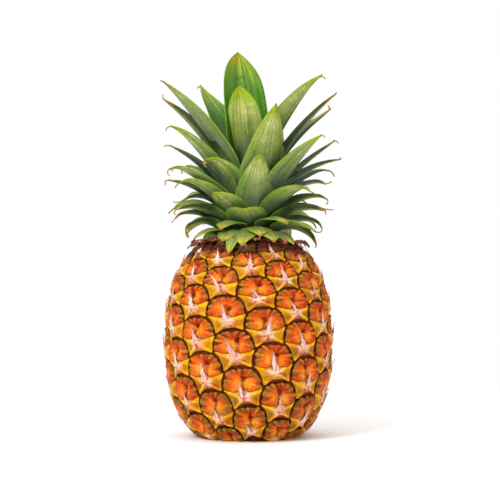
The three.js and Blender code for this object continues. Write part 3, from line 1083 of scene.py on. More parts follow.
@dataclass(frozen=True)
class EyeCaps(EyePiece):
    """The rounded caps of the eyes: pleated at the rim, furrowed and pitted in the middle.

    Each furrow gives its direction in degrees, how far that wanders, and its least and greatest depth.
    """

    middle: Pair = (0.2, 6.2)
    outline: Pairs = (
        (12.6, 2.3), (12.2, 6.4), (9.4, 10.8), (5.8, 13.4), (0.8, 13.6), (-4.2, 13.5), (-8.6, 12.7),
        (-11.5, 9.9), (-12.6, 5.0), (-12.8, 0.8), (-10.4, -0.9), (-5.6, -1.3), (-1.6, 0.0), (0.8, 0.9),
        (3.2, -0.5), (7.6, -1.2), (11.4, 0.1),
    )
    rings: Pairs = (
        (1.0, -1.2), (0.985, 0.7), (0.95, 1.5), (0.89, 2.05), (0.8, 2.3), (0.68, 2.15), (0.54, 1.75),
        (0.38, 1.3), (0.2, 0.9), (0.0, 0.6),
    )
    spokes: int = 64
    floor: float = 0.0
    highest: float = 2.75
    pleats: int = 16
    pleat_reach: float = 0.03
    pleat_rise: float = 0.3
    pit: Pair = (1.0, 6.8)
    pit_wander: float = 1.0
    pit_depth: float = 1.0
    pit_size: float = 1.6
    furrows: tuple[tuple[float, float, float, float], ...] = (
        (30, 12, 0.4, 1.0), (88, 14, 0.2, 1.0), (145, 12, 0.4, 1.0), (268, 8, 0.9, 0.9),
    )
    furrow_length: float = 9.0
    furrow_width: float = 0.8
    upper_from: Pair = (0.5, 3.0)
    rim_from: Pair = (0.7, 1.0)
    fold_from: Pair = (0.5, 0.8)
    fold_until: Pair = (0.97, 0.99)
    inner_until: Pair = (0.75, 0.95)
    hem_from: Pair = (0.86, 0.97)
    hem_below: Pair = (2.5, 0.5)
    lobes_across: Pair = (5.4, 6.8)
    lobes_up: Pair = (2.6, 4.6)
    lobe_rise: float = 1.15
    lobe_size: float = 3.4
    wave_rise: float = 0.28
    petal_beats: tuple[int, ...] = (9, 13, 19)
    petal_rise: float = 0.22
    petal_notch: float = 0.045
    petal_limit: float = 2.0
    petal_glow: float = 0.35
    petal_shade: float = 0.4
    pleat_shade: float = 0.5
    furrow_shade: float = 0.75
    pit_shade: float = 1.2
    hem_shade: float = 0.7
    hem_blush: float = 1.6
    blush_corners: Pairs = ((-9.5, 0.6), (9.5, 1.2))
    deepest_blush: float = 1.3
    corner_size: float = 3.2
    pit_blush: Pair = (1.1, 1.9)
    over_pit: float = 3.2
    over_pit_wander: float = 0.6
    over_pit_blush: Pair = (1.2, 2.6)
    loose_blush_size: float = 2.2
    glow_size: float = 3.2
    glow_inset: float = 0.6
    left_glows: Pair = (0.3, 1.0)
    right_glows: Pair = (0.4, 1.2)
    right_glow_lift: float = 0.6

    def build(self, draw: Draw) -> None:
        """Models one cap as an inset disc and bends a copy over every eye.

        Args:
            draw: The source of the differences between the eyes.
        """
        template = self.template("cap")
        share, turn = polar(template)
        edge = closed_curve(self.outline, turn)
        upper = smoothstep(*self.upper_from, edge[:, 1])
        frill = np.cos(2 * math.pi * self.pleats * turn) * upper
        pleated = 1.0 + self.pleat_reach * frill * smoothstep(*self.rim_from, share)
        x, y = self.drawn_out(edge, share * pleated)
        write_uv(template, x / self.uv_span + 0.5, y / self.uv_span + 0.5)
        fold = frill * smoothstep(*self.fold_from, share) * (1.0 - smoothstep(*self.fold_until, share))
        inner = 1.0 - smoothstep(*self.inner_until, share)
        hem = smoothstep(*self.hem_from, share) * smoothstep(*self.hem_below, y)
        caps = []
        for number, eye in enumerate(self.lattice.eyes()):
            pit_x, pit_y = (place + draw.normal(0, self.pit_wander) for place in self.pit)
            pit = (pit_x, pit_y)
            furrows = self.draw_furrows(x, y, pit, draw)
            lobes = [
                (side * draw.uniform(*self.lobes_across), draw.uniform(*self.lobes_up)) for side in (-1, 1)
            ]
            petals = self.draw_petals(share, turn, draw)
            rise = self.dome(share) + self.pleat_rise * fold
            rise = rise - inner * (furrows + self.pit_depth * spot(x, y, pit, self.pit_size))
            rise = rise + inner * sum(self.lobe_rise * spot(x, y, lobe, self.lobe_size) for lobe in lobes)
            rise = rise + inner * self.draw_waves(x, y, draw)
            rise = np.minimum(rise + self.petal_rise * petals, self.highest)
            notch = 1.0 + self.petal_notch * petals * upper * smoothstep(0.8, 1.0, share)
            cut_x, cut_y = self.drawn_out(np.stack([x, y], axis=1), notch)
            cap = copy_of(template, f"cap_{number}")
            write_points(cap, self.lattice.fitted(eye, cut_x, cut_y, rise, self.floor))
            red = self.draw_blush(x, y, pit, draw) + self.hem_blush * hem
            # Painted highlights: golden spots beside the lobes and on the petals' crests.
            glow = self.draw_painted_highlights(x, y, lobes, draw) + self.petal_glow * np.clip(petals, 0, self.petal_limit)
            # Painted shade: darker in the furrows and the pit, in the troughs of the pleats and the petals
            # and along the hem under the cap's lower edge, lighter on the pleats' crests.
            dark = self.furrow_shade * furrows * inner + self.pit_shade * spot(x, y, pit, 1.0)
            dark = np.clip(dark - self.pleat_shade * fold, 0, 1) + self.hem_shade * hem
            dark = dark + self.petal_shade * np.clip(-petals, 0, self.petal_limit) * upper
            write_mask(cap, "mask", share, np.clip(red, 0, 1), np.clip(dark, 0, 1))
            warmth = self.lattice.warmth(eye, draw)
            write_mask(cap, "tone", warmth, draw.uniform(), np.clip(glow, 0, 1))
            caps.append(cap)
        rind = CapRind("pineapple_cap_rind", roughness=0.4, specular=0.08, coat=0.12)
        self.finish(template, caps, "eye_caps", rind)

    def draw_furrows(self, x: Points, y: Points, pit: Pair, draw: Draw) -> Points:
        """Draws the furrows that run out from the pit.

        Args:
            x: Places across.
            y: Places up.
            pit: Where the furrows meet.
            draw: The source of their directions and depths.

        Returns:
            How deep they are at each place.
        """
        total = np.zeros_like(x)
        for degrees, wander, shallowest, deepest in self.furrows:
            angle = math.radians(degrees + draw.normal(0, wander))
            depth = draw_between(draw, shallowest, deepest)
            end = np.array(pit) + self.furrow_length * np.array((math.cos(angle), math.sin(angle)))
            total = total + depth * ray(x, y, pit, end, self.furrow_width)
        return total

    def draw_petals(self, share: Points, turn: Points, draw: Draw) -> Points:
        """Draws the uneven radial waves that cross the cap.

        Args:
            share: Shares of the cap's radius.
            turn: Turns, as shares of the circle.
            draw: The source of the waves' heights and phases.

        Returns:
            The waves, from about -1.5 to 1.5.
        """
        petals = sum(
            draw.uniform(0.3, 0.8) * np.cos(2 * math.pi * beats * turn + draw.uniform(0, 6))
            for beats in self.petal_beats
        )
        return petals * smoothstep(0.3, 0.7, share) * (1.0 - smoothstep(0.97, 1.0, share))

    def draw_waves(self, x: Points, y: Points, draw: Draw) -> Points:
        """Returns low waves across and up the cap, in millimetres."""
        across = np.sin(x * draw.uniform(0.6, 1.1) + draw.uniform(0, 6))
        return self.wave_rise * across * np.cos(y * draw.uniform(0.7, 1.2) + draw.uniform(0, 6))

    def draw_blush(self, x: Points, y: Points, pit: Pair, draw: Draw) -> Points:
        """Draws where the cap is red: over and in its pit, at its corners and in one place more.

        Args:
            x: Places across.
            y: Places up.
            pit: The pit's place.
            draw: The source of the places and their strength.

        Returns:
            How red each place is.
        """
        red = 0.0
        above = (pit[0] + draw.normal(0, self.over_pit_wander), pit[1] + self.over_pit)
        for place, (strength, size) in ((above, self.over_pit_blush), (pit, self.pit_blush)):
            red = red + strength * spot(x, y, place, size)
        for corner in self.blush_corners:
            red = red + draw.uniform(0, self.deepest_blush) * spot(x, y, corner, self.corner_size)
        strength = draw.uniform(0, self.deepest_blush)
        loose = (draw.uniform(-9, 9), draw.uniform(2, 11))
        return red + strength * spot(x, y, loose, self.loose_blush_size)

    def draw_painted_highlights(self, x: Points, y: Points, lobes: list[Pair], draw: Draw) -> Points:
        """Draws painted highlights: golden spots beside the cap's two lobes, where it rises.

        Args:
            x: Places across.
            y: Places up.
            lobes: The left and the right lobe's place.
            draw: The source of the strengths.

        Returns:
            How strong the painted highlight is at each place.
        """
        glow = 0.0
        sides = zip(lobes, (0.0, self.right_glow_lift), (self.left_glows, self.right_glows))
        for lobe, lift, glows in sides:
            place = (lobe[0] * self.glow_inset, lobe[1] + lift)
            glow = glow + draw.uniform(*glows) * spot(x, y, place, self.glow_size)
        return glow


@dataclass(frozen=True)
class EyeBracts(EyePiece):
    """The four-armed feet of the bracts between the caps."""

    middle: Pair = (0.8, -4.0)
    corners: Pairs = ((13.0, 1.3), (-12.8, -0.1), (-6.0, -11.8), (11.4, -8.6))
    outline: Pairs = (
        (13.5, 1.8), (9.0, 1.3), (4.0, 1.6), (-3.0, 1.6), (-9.0, 1.0), (-13.2, 0.3), (-11.4, -1.6),
        (-9.2, -4.4), (-7.8, -7.8), (-6.6, -11.9), (-4.6, -11.0), (-1.6, -9.0), (3.0, -8.1),
        (7.6, -8.3), (11.8, -9.4), (11.7, -5.6), (12.1, -2.0),
    )
    rings: Pairs = (
        (1.0, -1.2), (0.98, 0.8), (0.9, 1.25), (0.72, 1.6), (0.5, 2.0), (0.25, 2.3), (0.0, 2.5),
    )
    spokes: int = 48
    floor: float = 0.15
    highest: float = 3.0
    ridge_width: float = 1.4
    ridge_rise: float = 0.6
    facet_sink: float = 0.9
    wave_rise: float = 0.2
    facet_top: Pair = (-4.0, -7.0)
    facet_left: Pair = (-7.0, -3.0)
    facet_right: Pair = (11.0, 7.0)
    # How dark the sunken facets turn: partly olive colour, partly painted shade.
    facet_olive_and_shade: float = 1.1
    low_olive_and_shade: float = 0.75
    low_from: float = -2.0
    reds: Pair = (0.6, 1.0)
    pale_middle: Pair = (0.9, -2.8)
    pale_size: float = 3.0
    fan_start: Pair = (0.9, -2.0)
    streak_start: Pair = (0.9, -2.5)
    fan_length: float = 9.0
    fan_spread: float = 0.8
    fans: int = 7
    pale_fans: int = 4
    pale_strengths: Pair = (0.6, 1.1)
    pale_ray: Pair = (0.7, 0.8)
    streak_strengths: Pair = (0.3, 1.4)
    streak_width: float = 0.45
    streak_top: Pair = (-3.0, -4.6)

    def build(self, draw: Draw) -> None:
        """Models one foot as an inset disc with four arms and bends a copy under every cap.

        Args:
            draw: The source of the differences between the eyes.
        """
        template = self.template("bract")
        share, turn = polar(template)
        x, y = self.drawn_out(closed_curve(self.outline, turn), share)
        write_uv(template, x / self.uv_span + 0.5, y / self.uv_span + 0.5)
        ridge = sum(ray(x, y, self.middle, corner, self.ridge_width) for corner in self.corners)
        between = 1.0 - np.minimum(1.0, ridge)
        inner = 1.0 - smoothstep(0.85, 0.97, share)
        dome = self.dome(share) + inner * (self.ridge_rise * (1.0 - between) - self.facet_sink * between)
        # The sunk facets between the arms, most below: partly olive colour, partly painted shade.
        below = smoothstep(*self.facet_top, y) * smoothstep(*self.facet_left, x)
        below = self.facet_olive_and_shade * below * smoothstep(*self.facet_right, x)
        facet = np.clip(between * (below + self.low_olive_and_shade * (y < self.low_from)), 0, 1)
        bracts = []
        for number, eye in enumerate(self.lattice.eyes()):
            bract = copy_of(template, f"bract_{number}")
            waves = self.wave_rise * np.sin(x * draw.uniform(0.5, 0.9) + draw.uniform(0, 6))
            rise = np.minimum(dome + inner * waves, self.highest)
            write_points(bract, self.lattice.fitted(eye, x, y, rise, self.floor))
            pale, streaks = self.draw_fans(x, y, draw)
            # The facets' olive and painted shade differ from eye to eye.
            write_mask(bract, "mask", share, facet * draw.uniform(*self.reds), np.clip(pale, 0, 1))
            warmth = self.lattice.warmth(eye, draw)
            write_mask(bract, "tone", warmth, draw.uniform(), np.clip(streaks, 0, 1))
            bracts.append(bract)
        rind = BractRind("pineapple_bract_rind", roughness=0.45, specular=0.08, coat=0.05)
        self.finish(template, bracts, "eye_bracts", rind)

    def draw_fans(self, x: Points, y: Points, draw: Draw) -> tuple[Points, Points]:
        """Draws the pale middle and the red streaks that fan out below it.

        Args:
            x: Places across.
            y: Places up.
            draw: The source of the fan's directions and strengths.

        Returns:
            How pale and how streaked each place is.
        """
        start = np.array(self.fan_start)
        fans = [
            start + self.fan_length * np.array((math.sin(angle), -math.cos(angle)))
            for angle in draw.normal(0.0, self.fan_spread, self.fans)
        ]
        pale = draw.uniform(*self.pale_strengths) * spot(x, y, self.pale_middle, self.pale_size)
        strength, width = self.pale_ray
        for fan in fans[: self.pale_fans]:
            pale = pale + strength * ray(x, y, self.fan_start, lerp(start, fan, 0.5), width)
        streaks = sum(
            draw.uniform(*self.streak_strengths) * ray(x, y, self.streak_start, fan, self.streak_width)
            for fan in fans[1:]
        )
        return pale, streaks * smoothstep(*self.streak_top, y)


@dataclass(frozen=True)
class BractTips:
    """The dry papery tips of the bracts, which lie up over the caps."""

    lattice: EyeLattice
    bare_top: int = 5
    bare_base: int = 6
    foot: Pair = (0.7, -4.0)
    length: float = 14.5
    half_width: float = 3.2
    notch: float = 1.2
    highest: float = 4.9
    floor: float = 0.3
    rise_along: tuple[float, ...] = (0.0, 0.12, 0.3, 0.6, 1.0)
    rises: tuple[float, ...] = (1.2, 2.6, 3.0, 3.3)
    point_rises: Pair = (3.6, 4.9)
    thickness: float = 0.3
    cells: tuple[int, int] = (6, 14)
    length_shares: Pair = (0.62, 1.1)
    leans: Pair = (-2.0, 2.4)
    bends: Pair = (-0.4, 1.4)
    width_shares: Pair = (0.7, 1.1)
    narrowings: Pair = (1.0, 1.9)
    straight_share: float = 0.15
    raggedness: float = 0.42
    rag_slant: float = 5.0
    fork_depth: float = 3.0
    keel: Pair = (0.5, 0.4)
    curl: float = 0.7

    def build(self, draw: Draw) -> None:
        """Models one tip as a narrow sheet and lays a copy over the caps.

        Args:
            draw: The source of the differences between the tips.
        """
        template, across, along = grid("tip", *self.cells)
        tips = []
        for number, eye in enumerate(self.lattice.eyes(self.bare_top, self.bare_base)):
            tip = copy_of(template, f"tip_{number}")
            x, y, rise = self.draw_tip(across, along, draw)
            write_points(tip, self.lattice.fitted(eye, x, y, np.minimum(rise, self.highest), self.floor))
            write_mask(tip, "tone", draw.uniform(), draw.uniform(), draw.uniform())
            tips.append(tip)
        remove(template)
        whole = join(tips, "bract_tips")
        solidify(whole, self.thickness)
        paper = DryPaper("dry_bract_paper", roughness=0.6, specular=0.3, subsurface=0.1)
        settle(whole, "fruit_skin", ["fruit"], 60.0, paper)

    def draw_tip(self, across: Points, along: Points, draw: Draw) -> tuple[Points, Points, Points]:
        """Draws one tip: leaning, ragged, forked and curled.

        Args:
            across: The sheet's places across.
            along: The sheet's places along.
            draw: The source of its shape.

        Returns:
            Millimetres across and up the eye, and over its groove.
        """
        left = 1.0 - along
        length = self.length * draw.uniform(*self.length_shares)
        lean, bend = draw.normal(*self.leans), draw.normal(*self.bends)
        half_width = self.half_width * draw.uniform(*self.width_shares)
        narrowing = lerp(left ** draw.uniform(*self.narrowings), left, self.straight_share)
        rags = np.sin(along * draw.uniform(14, 30) + self.rag_slant * across + draw.uniform(0, 6))
        ragged = 1.0 + self.raggedness * rags
        x = self.foot[0] + lean * along + bend * along**2 + across * half_width * narrowing * ragged
        fork = draw.uniform(0.0, self.fork_depth) * np.sin(3.0 * across + draw.uniform(0, 6))
        y = self.foot[1] + length * along - (self.notch + fork) * np.abs(across) * left**2
        keel = draw.normal(*self.keel) * (1.0 - np.abs(across)) * left
        rise = np.interp(along, self.rise_along, [*self.rises, draw.uniform(*self.point_rises)]) + keel
        curl = draw.normal(0.0, self.curl) * across
        rise = rise + curl * left * np.sin(along * draw.uniform(4, 9) + draw.uniform(0, 6))
        return x, y, rise


@dataclass(frozen=True)
class Fruit:
    """The fruit's outside: the groove skin, the caps of the eyes, their bracts and the dry tips."""

    lattice: EyeLattice = field(default_factory=EyeLattice)

    def build(self) -> None:
        """Models and dresses every piece of the fruit."""
        draw = np.random.default_rng(SEED)
        GrooveSkin(self.lattice).build()
        EyeCaps(self.lattice).build(draw)
        EyeBracts(self.lattice).build(draw)
        BractTips(self.lattice).build(draw)


# ---- the crown ----


@dataclass(frozen=True)
class Leaf:
    """One leaf of the crown: millimetres, and its turn from the front towards the right in degrees."""

    turn: float
    reach: float
    tip: float
    width: float
    bow: float
    droop: float
    root: float
    twist: float = 0.0
    hook: float = 0.0
    hue: float = 0.5

    @property
    def reflexed(self) -> bool:
        """Whether this is one of the low leaves that bend down over the shoulder."""
        return abs(self.turn) < 55 and self.tip < 149

    @property
    def upright(self) -> bool:
        """Whether this is one of the two spears in the crown's middle."""
        return self.reach < 20

    @property
    def threaded(self) -> bool:
        """Whether the leaf ends in a dry curled thread, as all but the front ones do."""
        return not (self.reflexed or self.upright or (abs(self.turn) < 40 and self.reach < 44))

    @property
    def greyness(self) -> float:
        """How much grey bloom the leaf carries: most on the leaves at the sides."""
        aside = smoothstep(40.0, 70.0, abs(self.turn)) * smoothstep(165.0, 200.0, self.tip)
        return float(0.3 * aside + 0.2 * self.hue)

    @property
    def age(self) -> float:
        """The leaf's age and shade: 0 for a fresh face, 0.5 for a worn low leaf and 1 for a side leaf,
        painted in shade.
        """
        aside = smoothstep(58.0, 70.0, abs(self.turn)) * (abs(self.turn) < 120)
        return 0.5 if self.reflexed else float(aside)


# The leaves that show from the front, inner ones first. Each row gives turn, reach, tip, width, bow, droop,
# root and twist.
FRONT_LEAVES: tuple[tuple[float, ...], ...] = (
    (-149, 17, 282, 37, 1, 0, 178, 0),
    (-22, 18, 249, 28, 2, 0, 172, 0),
    (-125, 46, 259, 36, 4, 0, 176, 10),
    (58, 60, 254, 29, 9, 0, 170, 0),
    (-64, 66, 249, 27, 5, 0, 170, 0),
    (128, 38, 236, 26, 3, 0, 172, 0),
    (32, 36, 233, 37, -4, 0, 158, 0),
    (-80, 63, 241, 28, 7, 2, 162, 0),
    (80, 64, 245, 26, 6, 0, 164, 10),
    (104, 64, 239, 25, 6, 1, 166, 10),
    (-64, 60, 219, 26, 5, 2, 158, 0),
    (56, 61, 210, 27, 4, 1, 154, 0),
    (-46, 42, 196, 28, 6, 4, 156, 0),
    (15, 30, 199, 31, -3, 0, 146, 0),
    (-96, 58, 210, 22, 4, 2, 160, 10),
    (84, 63, 211, 22, 3, 0, 160, 10),
    (94, 68, 200, 22, 6, 2, 158, 10),
    (-76, 58, 193, 22, 4, 1, 156, 0),
    (-62, 56, 190, 22, 3, 1, 154, 0),
    (108, 63, 196, 22, 3, 2, 158, 10),
    (52, 54, 174, 27, 4, 5, 147, 0),
    (-60, 55, 181, 23, 4, 3, 150, 0),
    (-100, 60, 185, 22, 4, 2, 154, 10),
    (-36, 41, 170, 28, 1, 3, 148, 0),
    (80, 58, 170, 22, 5, 3, 149, 0),
    (-92, 49, 169, 20, 6, 7, 150, 10),
    (104, 57, 164, 20, 5, 4, 149, 10),
    (-4, 46, 157, 30, 3, 1, 143, 0),
    (-66, 56, 159, 22, 4, 5, 146, 0),
    (-84, 54, 157, 20, 4, 3, 146, 10),
    (66, 59, 158, 22, 4, 5, 145, 0),
    (38, 44, 148, 27, 7, 0, 145, 0),
    (86, 55, 150, 20, 4, 4, 144, 0),
    (-30, 39, 144, 25, 7, 0, 144, 0),
    (-74, 49, 146, 20, 4, 6, 142, 0),
    (12, 40, 139, 24, 6, 0, 142, 0),
    (60, 54, 143, 20, 4, 4, 141, 0),
    (-24, 43, 135, 23, 4.6, 0, 141, 0),
    (-54, 47, 138, 20, 5.4, 2, 141.5, 0),
    (25, 43, 135, 22, 5.1, 0, 141.2, 0),
    (-6, 45, 132, 23, 3.8, 0, 141, 0),
    (45, 45, 134, 21, 4.2, 0, 141.3, 0),
    (-16, 50, 127, 14, 3, 0, 141.4, 0),
)


@dataclass(frozen=True)
class LeafPlace:
    """What a leaf's colour follows: where a point lies on it, and the marks that the leaf carries."""

    uv: Socket
    out: Socket
    along: Socket
    grey: Socket
    seed: Socket
    age: Socket
    painted_fold_shade: Socket
    spots: Socket

    @classmethod
    def read(cls, tree: Tree, spot_size: float) -> "LeafPlace":
        """Adds the nodes that read a leaf.

        Args:
            tree: The material's node tree.
            spot_size: The size of its soft spots in millimetres.

        Returns:
            The nodes' outputs.
        """
        uv, out, along = read_sheet(tree)
        grey, number, age = read_marks(tree, "tone")
        place = read_place(tree)
        settings = {"Scale": 1 / (spot_size * MM), "Detail": 5.0, "Roughness": 0.65}
        spots = add_node(tree, "TexNoise", settings, {"Vector": place})
        return cls(uv, out, along, grey, read_seed(tree, number), age, read_marks(tree, "mask")[0], spots)


@dataclass(frozen=True)
class LeafFace(Finish):
    """Leathery face of a leaf: satin under a grey bloom, ribbed lengthwise, with a lime margin and tip; its
    dark foot and the side leaves' dark faces and folds are painted shade.
    """

    # Greens along the leaf: the dark foot and low greens are painted shade where the leaves overlap; the
    # pale full green is partly the leaf's own colour, partly painted light.
    foot: str = "#22342a"
    low: str = "#34464c"
    young: str = "#8e9e46"
    full: str = "#d8d680"
    margin: str = "#98bc08"
    mottle: str = "#648424"
    midrib: str = "#b8bc84"
    midrib_cover: str = "#4c4c4c"
    tip: str = "#a4bc08"
    dry: str = "#9c6c24"
    fleck: str = "#3c4c1c"
    rib: str = "#4c6628"
    bloom: str = "#9aa48c"
    worn: str = "#948260"
    # Painted shade on the side leaves' faces.
    shaded: str = "#141c10"
    # Painted shade: a dark strip along a side leaf's lower edge, standing for a shaded fold.
    fold: str = "#1a2a1c"
    pores: Stops = ((0.36, "#5c6a44"), (0.54, WHITE))
    bloom_share: float = 0.6
    worn_share: float = 0.0
    painted_fold_shade_share: float = 0.85
    rib_depth: float = 0.7
    ribs: float = 18.0
    rib_height: float = 0.4
    spot_size: float = 9.091
    speck_size: float = 2.381
    scratch_size: float = 10.0
    pore_size: float = 1.111

    def colour(self, tree: Tree) -> Socket:
        """Builds the leaf's body, its wear and painted shade, tip, ribs, the painted shade of its folds,
        flecks, dry point and pores.

        Args:
            tree: The material's node tree.

        Returns:
            The colour.
        """
        leaf = LeafPlace.read(tree, self.spot_size)
        stage = self.stage(tree, leaf)
        wear_and_shade = self.wear_and_shade(tree, leaf)
        # A worn low leaf takes the worn colour in patches; a side leaf takes painted shade all over.
        worn_and_shaded = ((0.5, self.worn), (1.0, self.shaded))
        aged = add_node(tree, "ValToRGB", links={"Fac": leaf.age}, stops=worn_and_shaded)
        shades = {"Factor_Float": wear_and_shade, "A_Color": self.body(tree, leaf, stage), "B_Color": aged}
        body = add_node(tree, "Mix", {"data_type": "RGBA"}, shades)
        ending = ((0.74, BLACK), (0.82, "#707070"), (0.9, "#f4f4f4"))
        end = add_node(tree, "ValToRGB", links={"Fac": stage}, stops=ending)
        fresher = {"operation": "MULTIPLY_ADD", "Value_001": -0.3, "Value_002": 1.0}
        fresh = add_node(tree, "Math", fresher, {"Value": wear_and_shade})
        lime = add_node(tree, "Math", {"operation": "MULTIPLY"}, {"Value": end, "Value_001": fresh})
        # Painted shade along the side leaves' lower edges.
        edging = {"operation": "MULTIPLY", "Value_001": self.painted_fold_shade_share}
        painted_fold_shade = add_node(tree, "Math", edging, {"Value": leaf.painted_fold_shade})
        further = {"operation": "MULTIPLY_ADD", "Value_001": 0.08}
        reach = add_node(tree, "Math", further, {"Value": leaf.age, "Value_002": leaf.along})
        point = add_node(tree, "ValToRGB", links={"Fac": reach}, stops=((0.965, BLACK), (1.0, "#dddddd")))
        colour = coated(
            tree,
            body,
            (lime, self.tip),
            (self.ribbing(tree, leaf), self.rib),
            (painted_fold_shade, self.fold),
            (self.flecks(tree), self.fleck),
            (point, self.dry),
        )
        return grained(tree, colour, self.pore_size, self.pores, 0.25)

    def stage(self, tree: Tree, leaf: LeafPlace) -> Socket:
        """Works out how far a point is from the foot, darkened with painted shade, to the yellow tip.

        Args:
            tree: The material's node tree.
            leaf: Where the point lies.

        Returns:
            Its way along, earlier on a grey leaf, later on an old one and uneven throughout.
        """
        settings = {"noise_dimensions": "4D", "Scale": 3.0, "Detail": 3.0}
        cloud = add_node(tree, "TexNoise", settings, {"Vector": leaf.uv, "W": leaf.seed})
        centred = {"operation": "MULTIPLY_ADD", "Value_001": 0.3, "Value_002": -0.15}
        drift = add_node(tree, "Math", centred, {"Value": cloud})
        for mark, gain in ((leaf.age, 0.04), (leaf.grey, -0.15)):
            moving = {"operation": "MULTIPLY_ADD", "Value_001": gain}
            drift = add_node(tree, "Math", moving, {"Value": mark, "Value_002": drift})
        return add_node(tree, "Math", {"operation": "ADD"}, {"Value": leaf.along, "Value_001": drift})

    def body(self, tree: Tree, leaf: LeafPlace, stage: Socket) -> Socket:
        """Builds the greens along the leaf, painted shade at the foot and partly painted light above, under
        its bloom, midrib, mottling and margin.

        Args:
            tree: The material's node tree.
            leaf: Where a point lies.
            stage: How far it is from foot to tip.

        Returns:
            The colour of a fresh leaf.
        """
        # The foot and low stops are painted shade; the full stop is partly painted light.
        greens = ((0.16, self.foot), (0.4, self.low), (0.58, self.young), (0.78, self.full))
        midrib = ((0.0, self.midrib_cover), (0.25, BLACK))
        mottling = ((0.46, BLACK), (0.58, "#a0a0a0"))
        margin = ((0.25, BLACK), (0.62, "#686868"), (0.9, "#a0a0a0"), (0.98, "#dcdcdc"))
        blooming = {"From Max": 0.5, "To Max": self.bloom_share}
        bloom = add_node(tree, "MapRange", blooming, {"Value": leaf.grey})
        return coated(
            tree,
            add_node(tree, "ValToRGB", links={"Fac": stage}, stops=greens),
            (bloom, self.bloom),
            (add_node(tree, "ValToRGB", links={"Fac": leaf.out}, stops=midrib), self.midrib),
            (add_node(tree, "ValToRGB", links={"Fac": leaf.spots}, stops=mottling), self.mottle),
            (add_node(tree, "ValToRGB", links={"Fac": leaf.out}, stops=margin), self.margin),
        )

    def wear_and_shade(self, tree: Tree, leaf: LeafPlace) -> Socket:
        """Works out how worn or shaded a point is: worn in patches on a low leaf's dome, painted shade all
        over a side leaf.

        Args:
            tree: The material's node tree.
            leaf: Where the point lies.

        Returns:
            How much of the worn colour or the painted shade shows.
        """
        dome = add_node(tree, "ValToRGB", links={"Fac": leaf.out}, stops=((0.5, WHITE), (0.9, "#606060")))
        patchy = ((0.4, "#8c8c8c"), (0.52, WHITE))
        patches = add_node(tree, "ValToRGB", links={"Fac": leaf.spots}, stops=patchy)
        patched = add_node(tree, "Math", {"operation": "MULTIPLY"}, {"Value": dome, "Value_001": patches})
        whole = add_node(tree, "MapRange", {"From Min": 0.6, "From Max": 0.9}, {"Value": leaf.age})
        cover = add_node(tree, "Math", {"operation": "MAXIMUM"}, {"Value": patched, "Value_001": whole})
        wear_and_shade = add_node(tree, "MapRange", {"From Max": 0.5, "To Max": self.worn_share}, {"Value": leaf.age})
        return add_node(tree, "Math", {"operation": "MULTIPLY"}, {"Value": wear_and_shade, "Value_001": cover})

    def ribbing(self, tree: Tree, leaf: LeafPlace) -> Socket:
        """Builds the cover of the dark lengthwise ribs.

        Args:
            tree: The material's node tree.
            leaf: Where a point lies.

        Returns:
            How dark each rib is.
        """
        drawn = add_node(tree, "Mapping", {"Scale": (self.ribs, 0.8, 1.0)}, {"Vector": leaf.uv})
        settings = {"noise_dimensions": "4D", "Scale": 1.0, "Detail": 4.0, "Roughness": 0.7}
        lines = add_node(tree, "TexNoise", settings, {"Vector": drawn, "W": leaf.seed})
        thin = add_node(tree, "ValToRGB", links={"Fac": lines}, stops=((0.4, BLACK), (0.62, WHITE)))
        deep = {"operation": "MULTIPLY", "Value_001": self.rib_depth}
        return add_node(tree, "Math", deep, {"Value": thin})

    def flecks(self, tree: Tree) -> Socket:
        """Builds the cover of the dark scratches and specks.

        Args:
            tree: The material's node tree.

        Returns:
            How dark each of them is.
        """
        place = read_place(tree)
        dotted = {"Scale": 1 / (self.speck_size * MM), "Detail": 2.0}
        specks = add_node(tree, "TexNoise", dotted, {"Vector": place})
        scratched = {"Scale": 1 / (self.scratch_size * MM), "Detail": 4.0, "Roughness": 0.7}
        scratches = add_node(tree, "TexNoise", scratched | {"Distortion": 1.5}, {"Vector": place})
        contour = ((0.565, BLACK), (0.58, "#dddddd"), (0.595, BLACK), (0.66, BLACK), (0.75, "#888888"))
        lines = add_node(tree, "ValToRGB", links={"Fac": scratches}, stops=contour)
        dots = add_node(tree, "ValToRGB", links={"Fac": specks}, stops=((0.66, BLACK), (0.74, "#999999")))
        return add_node(tree, "Math", {"operation": "MAXIMUM"}, {"Value": dots, "Value_001": lines})

    def relief(self, tree: Tree) -> Socket:
        """Builds the fine lengthwise ribs, about a millimetre apart.

        Args:
            tree: The material's node tree.

        Returns:
            The bumped normal.
        """
        uv = add_node(tree, "TexCoord").node.outputs["UV"]
        drawn = add_node(tree, "Mapping", {"Scale": (self.ribs, 0.5, 1.0)}, {"Vector": uv})
        lines = add_node(tree, "TexNoise", {"Scale": 1.0, "Detail": 3.0}, {"Vector": drawn})
        height = {"Strength": 0.45, "Distance": self.rib_height * MM}
        return add_node(tree, "Bump", height, {"Height": lines})


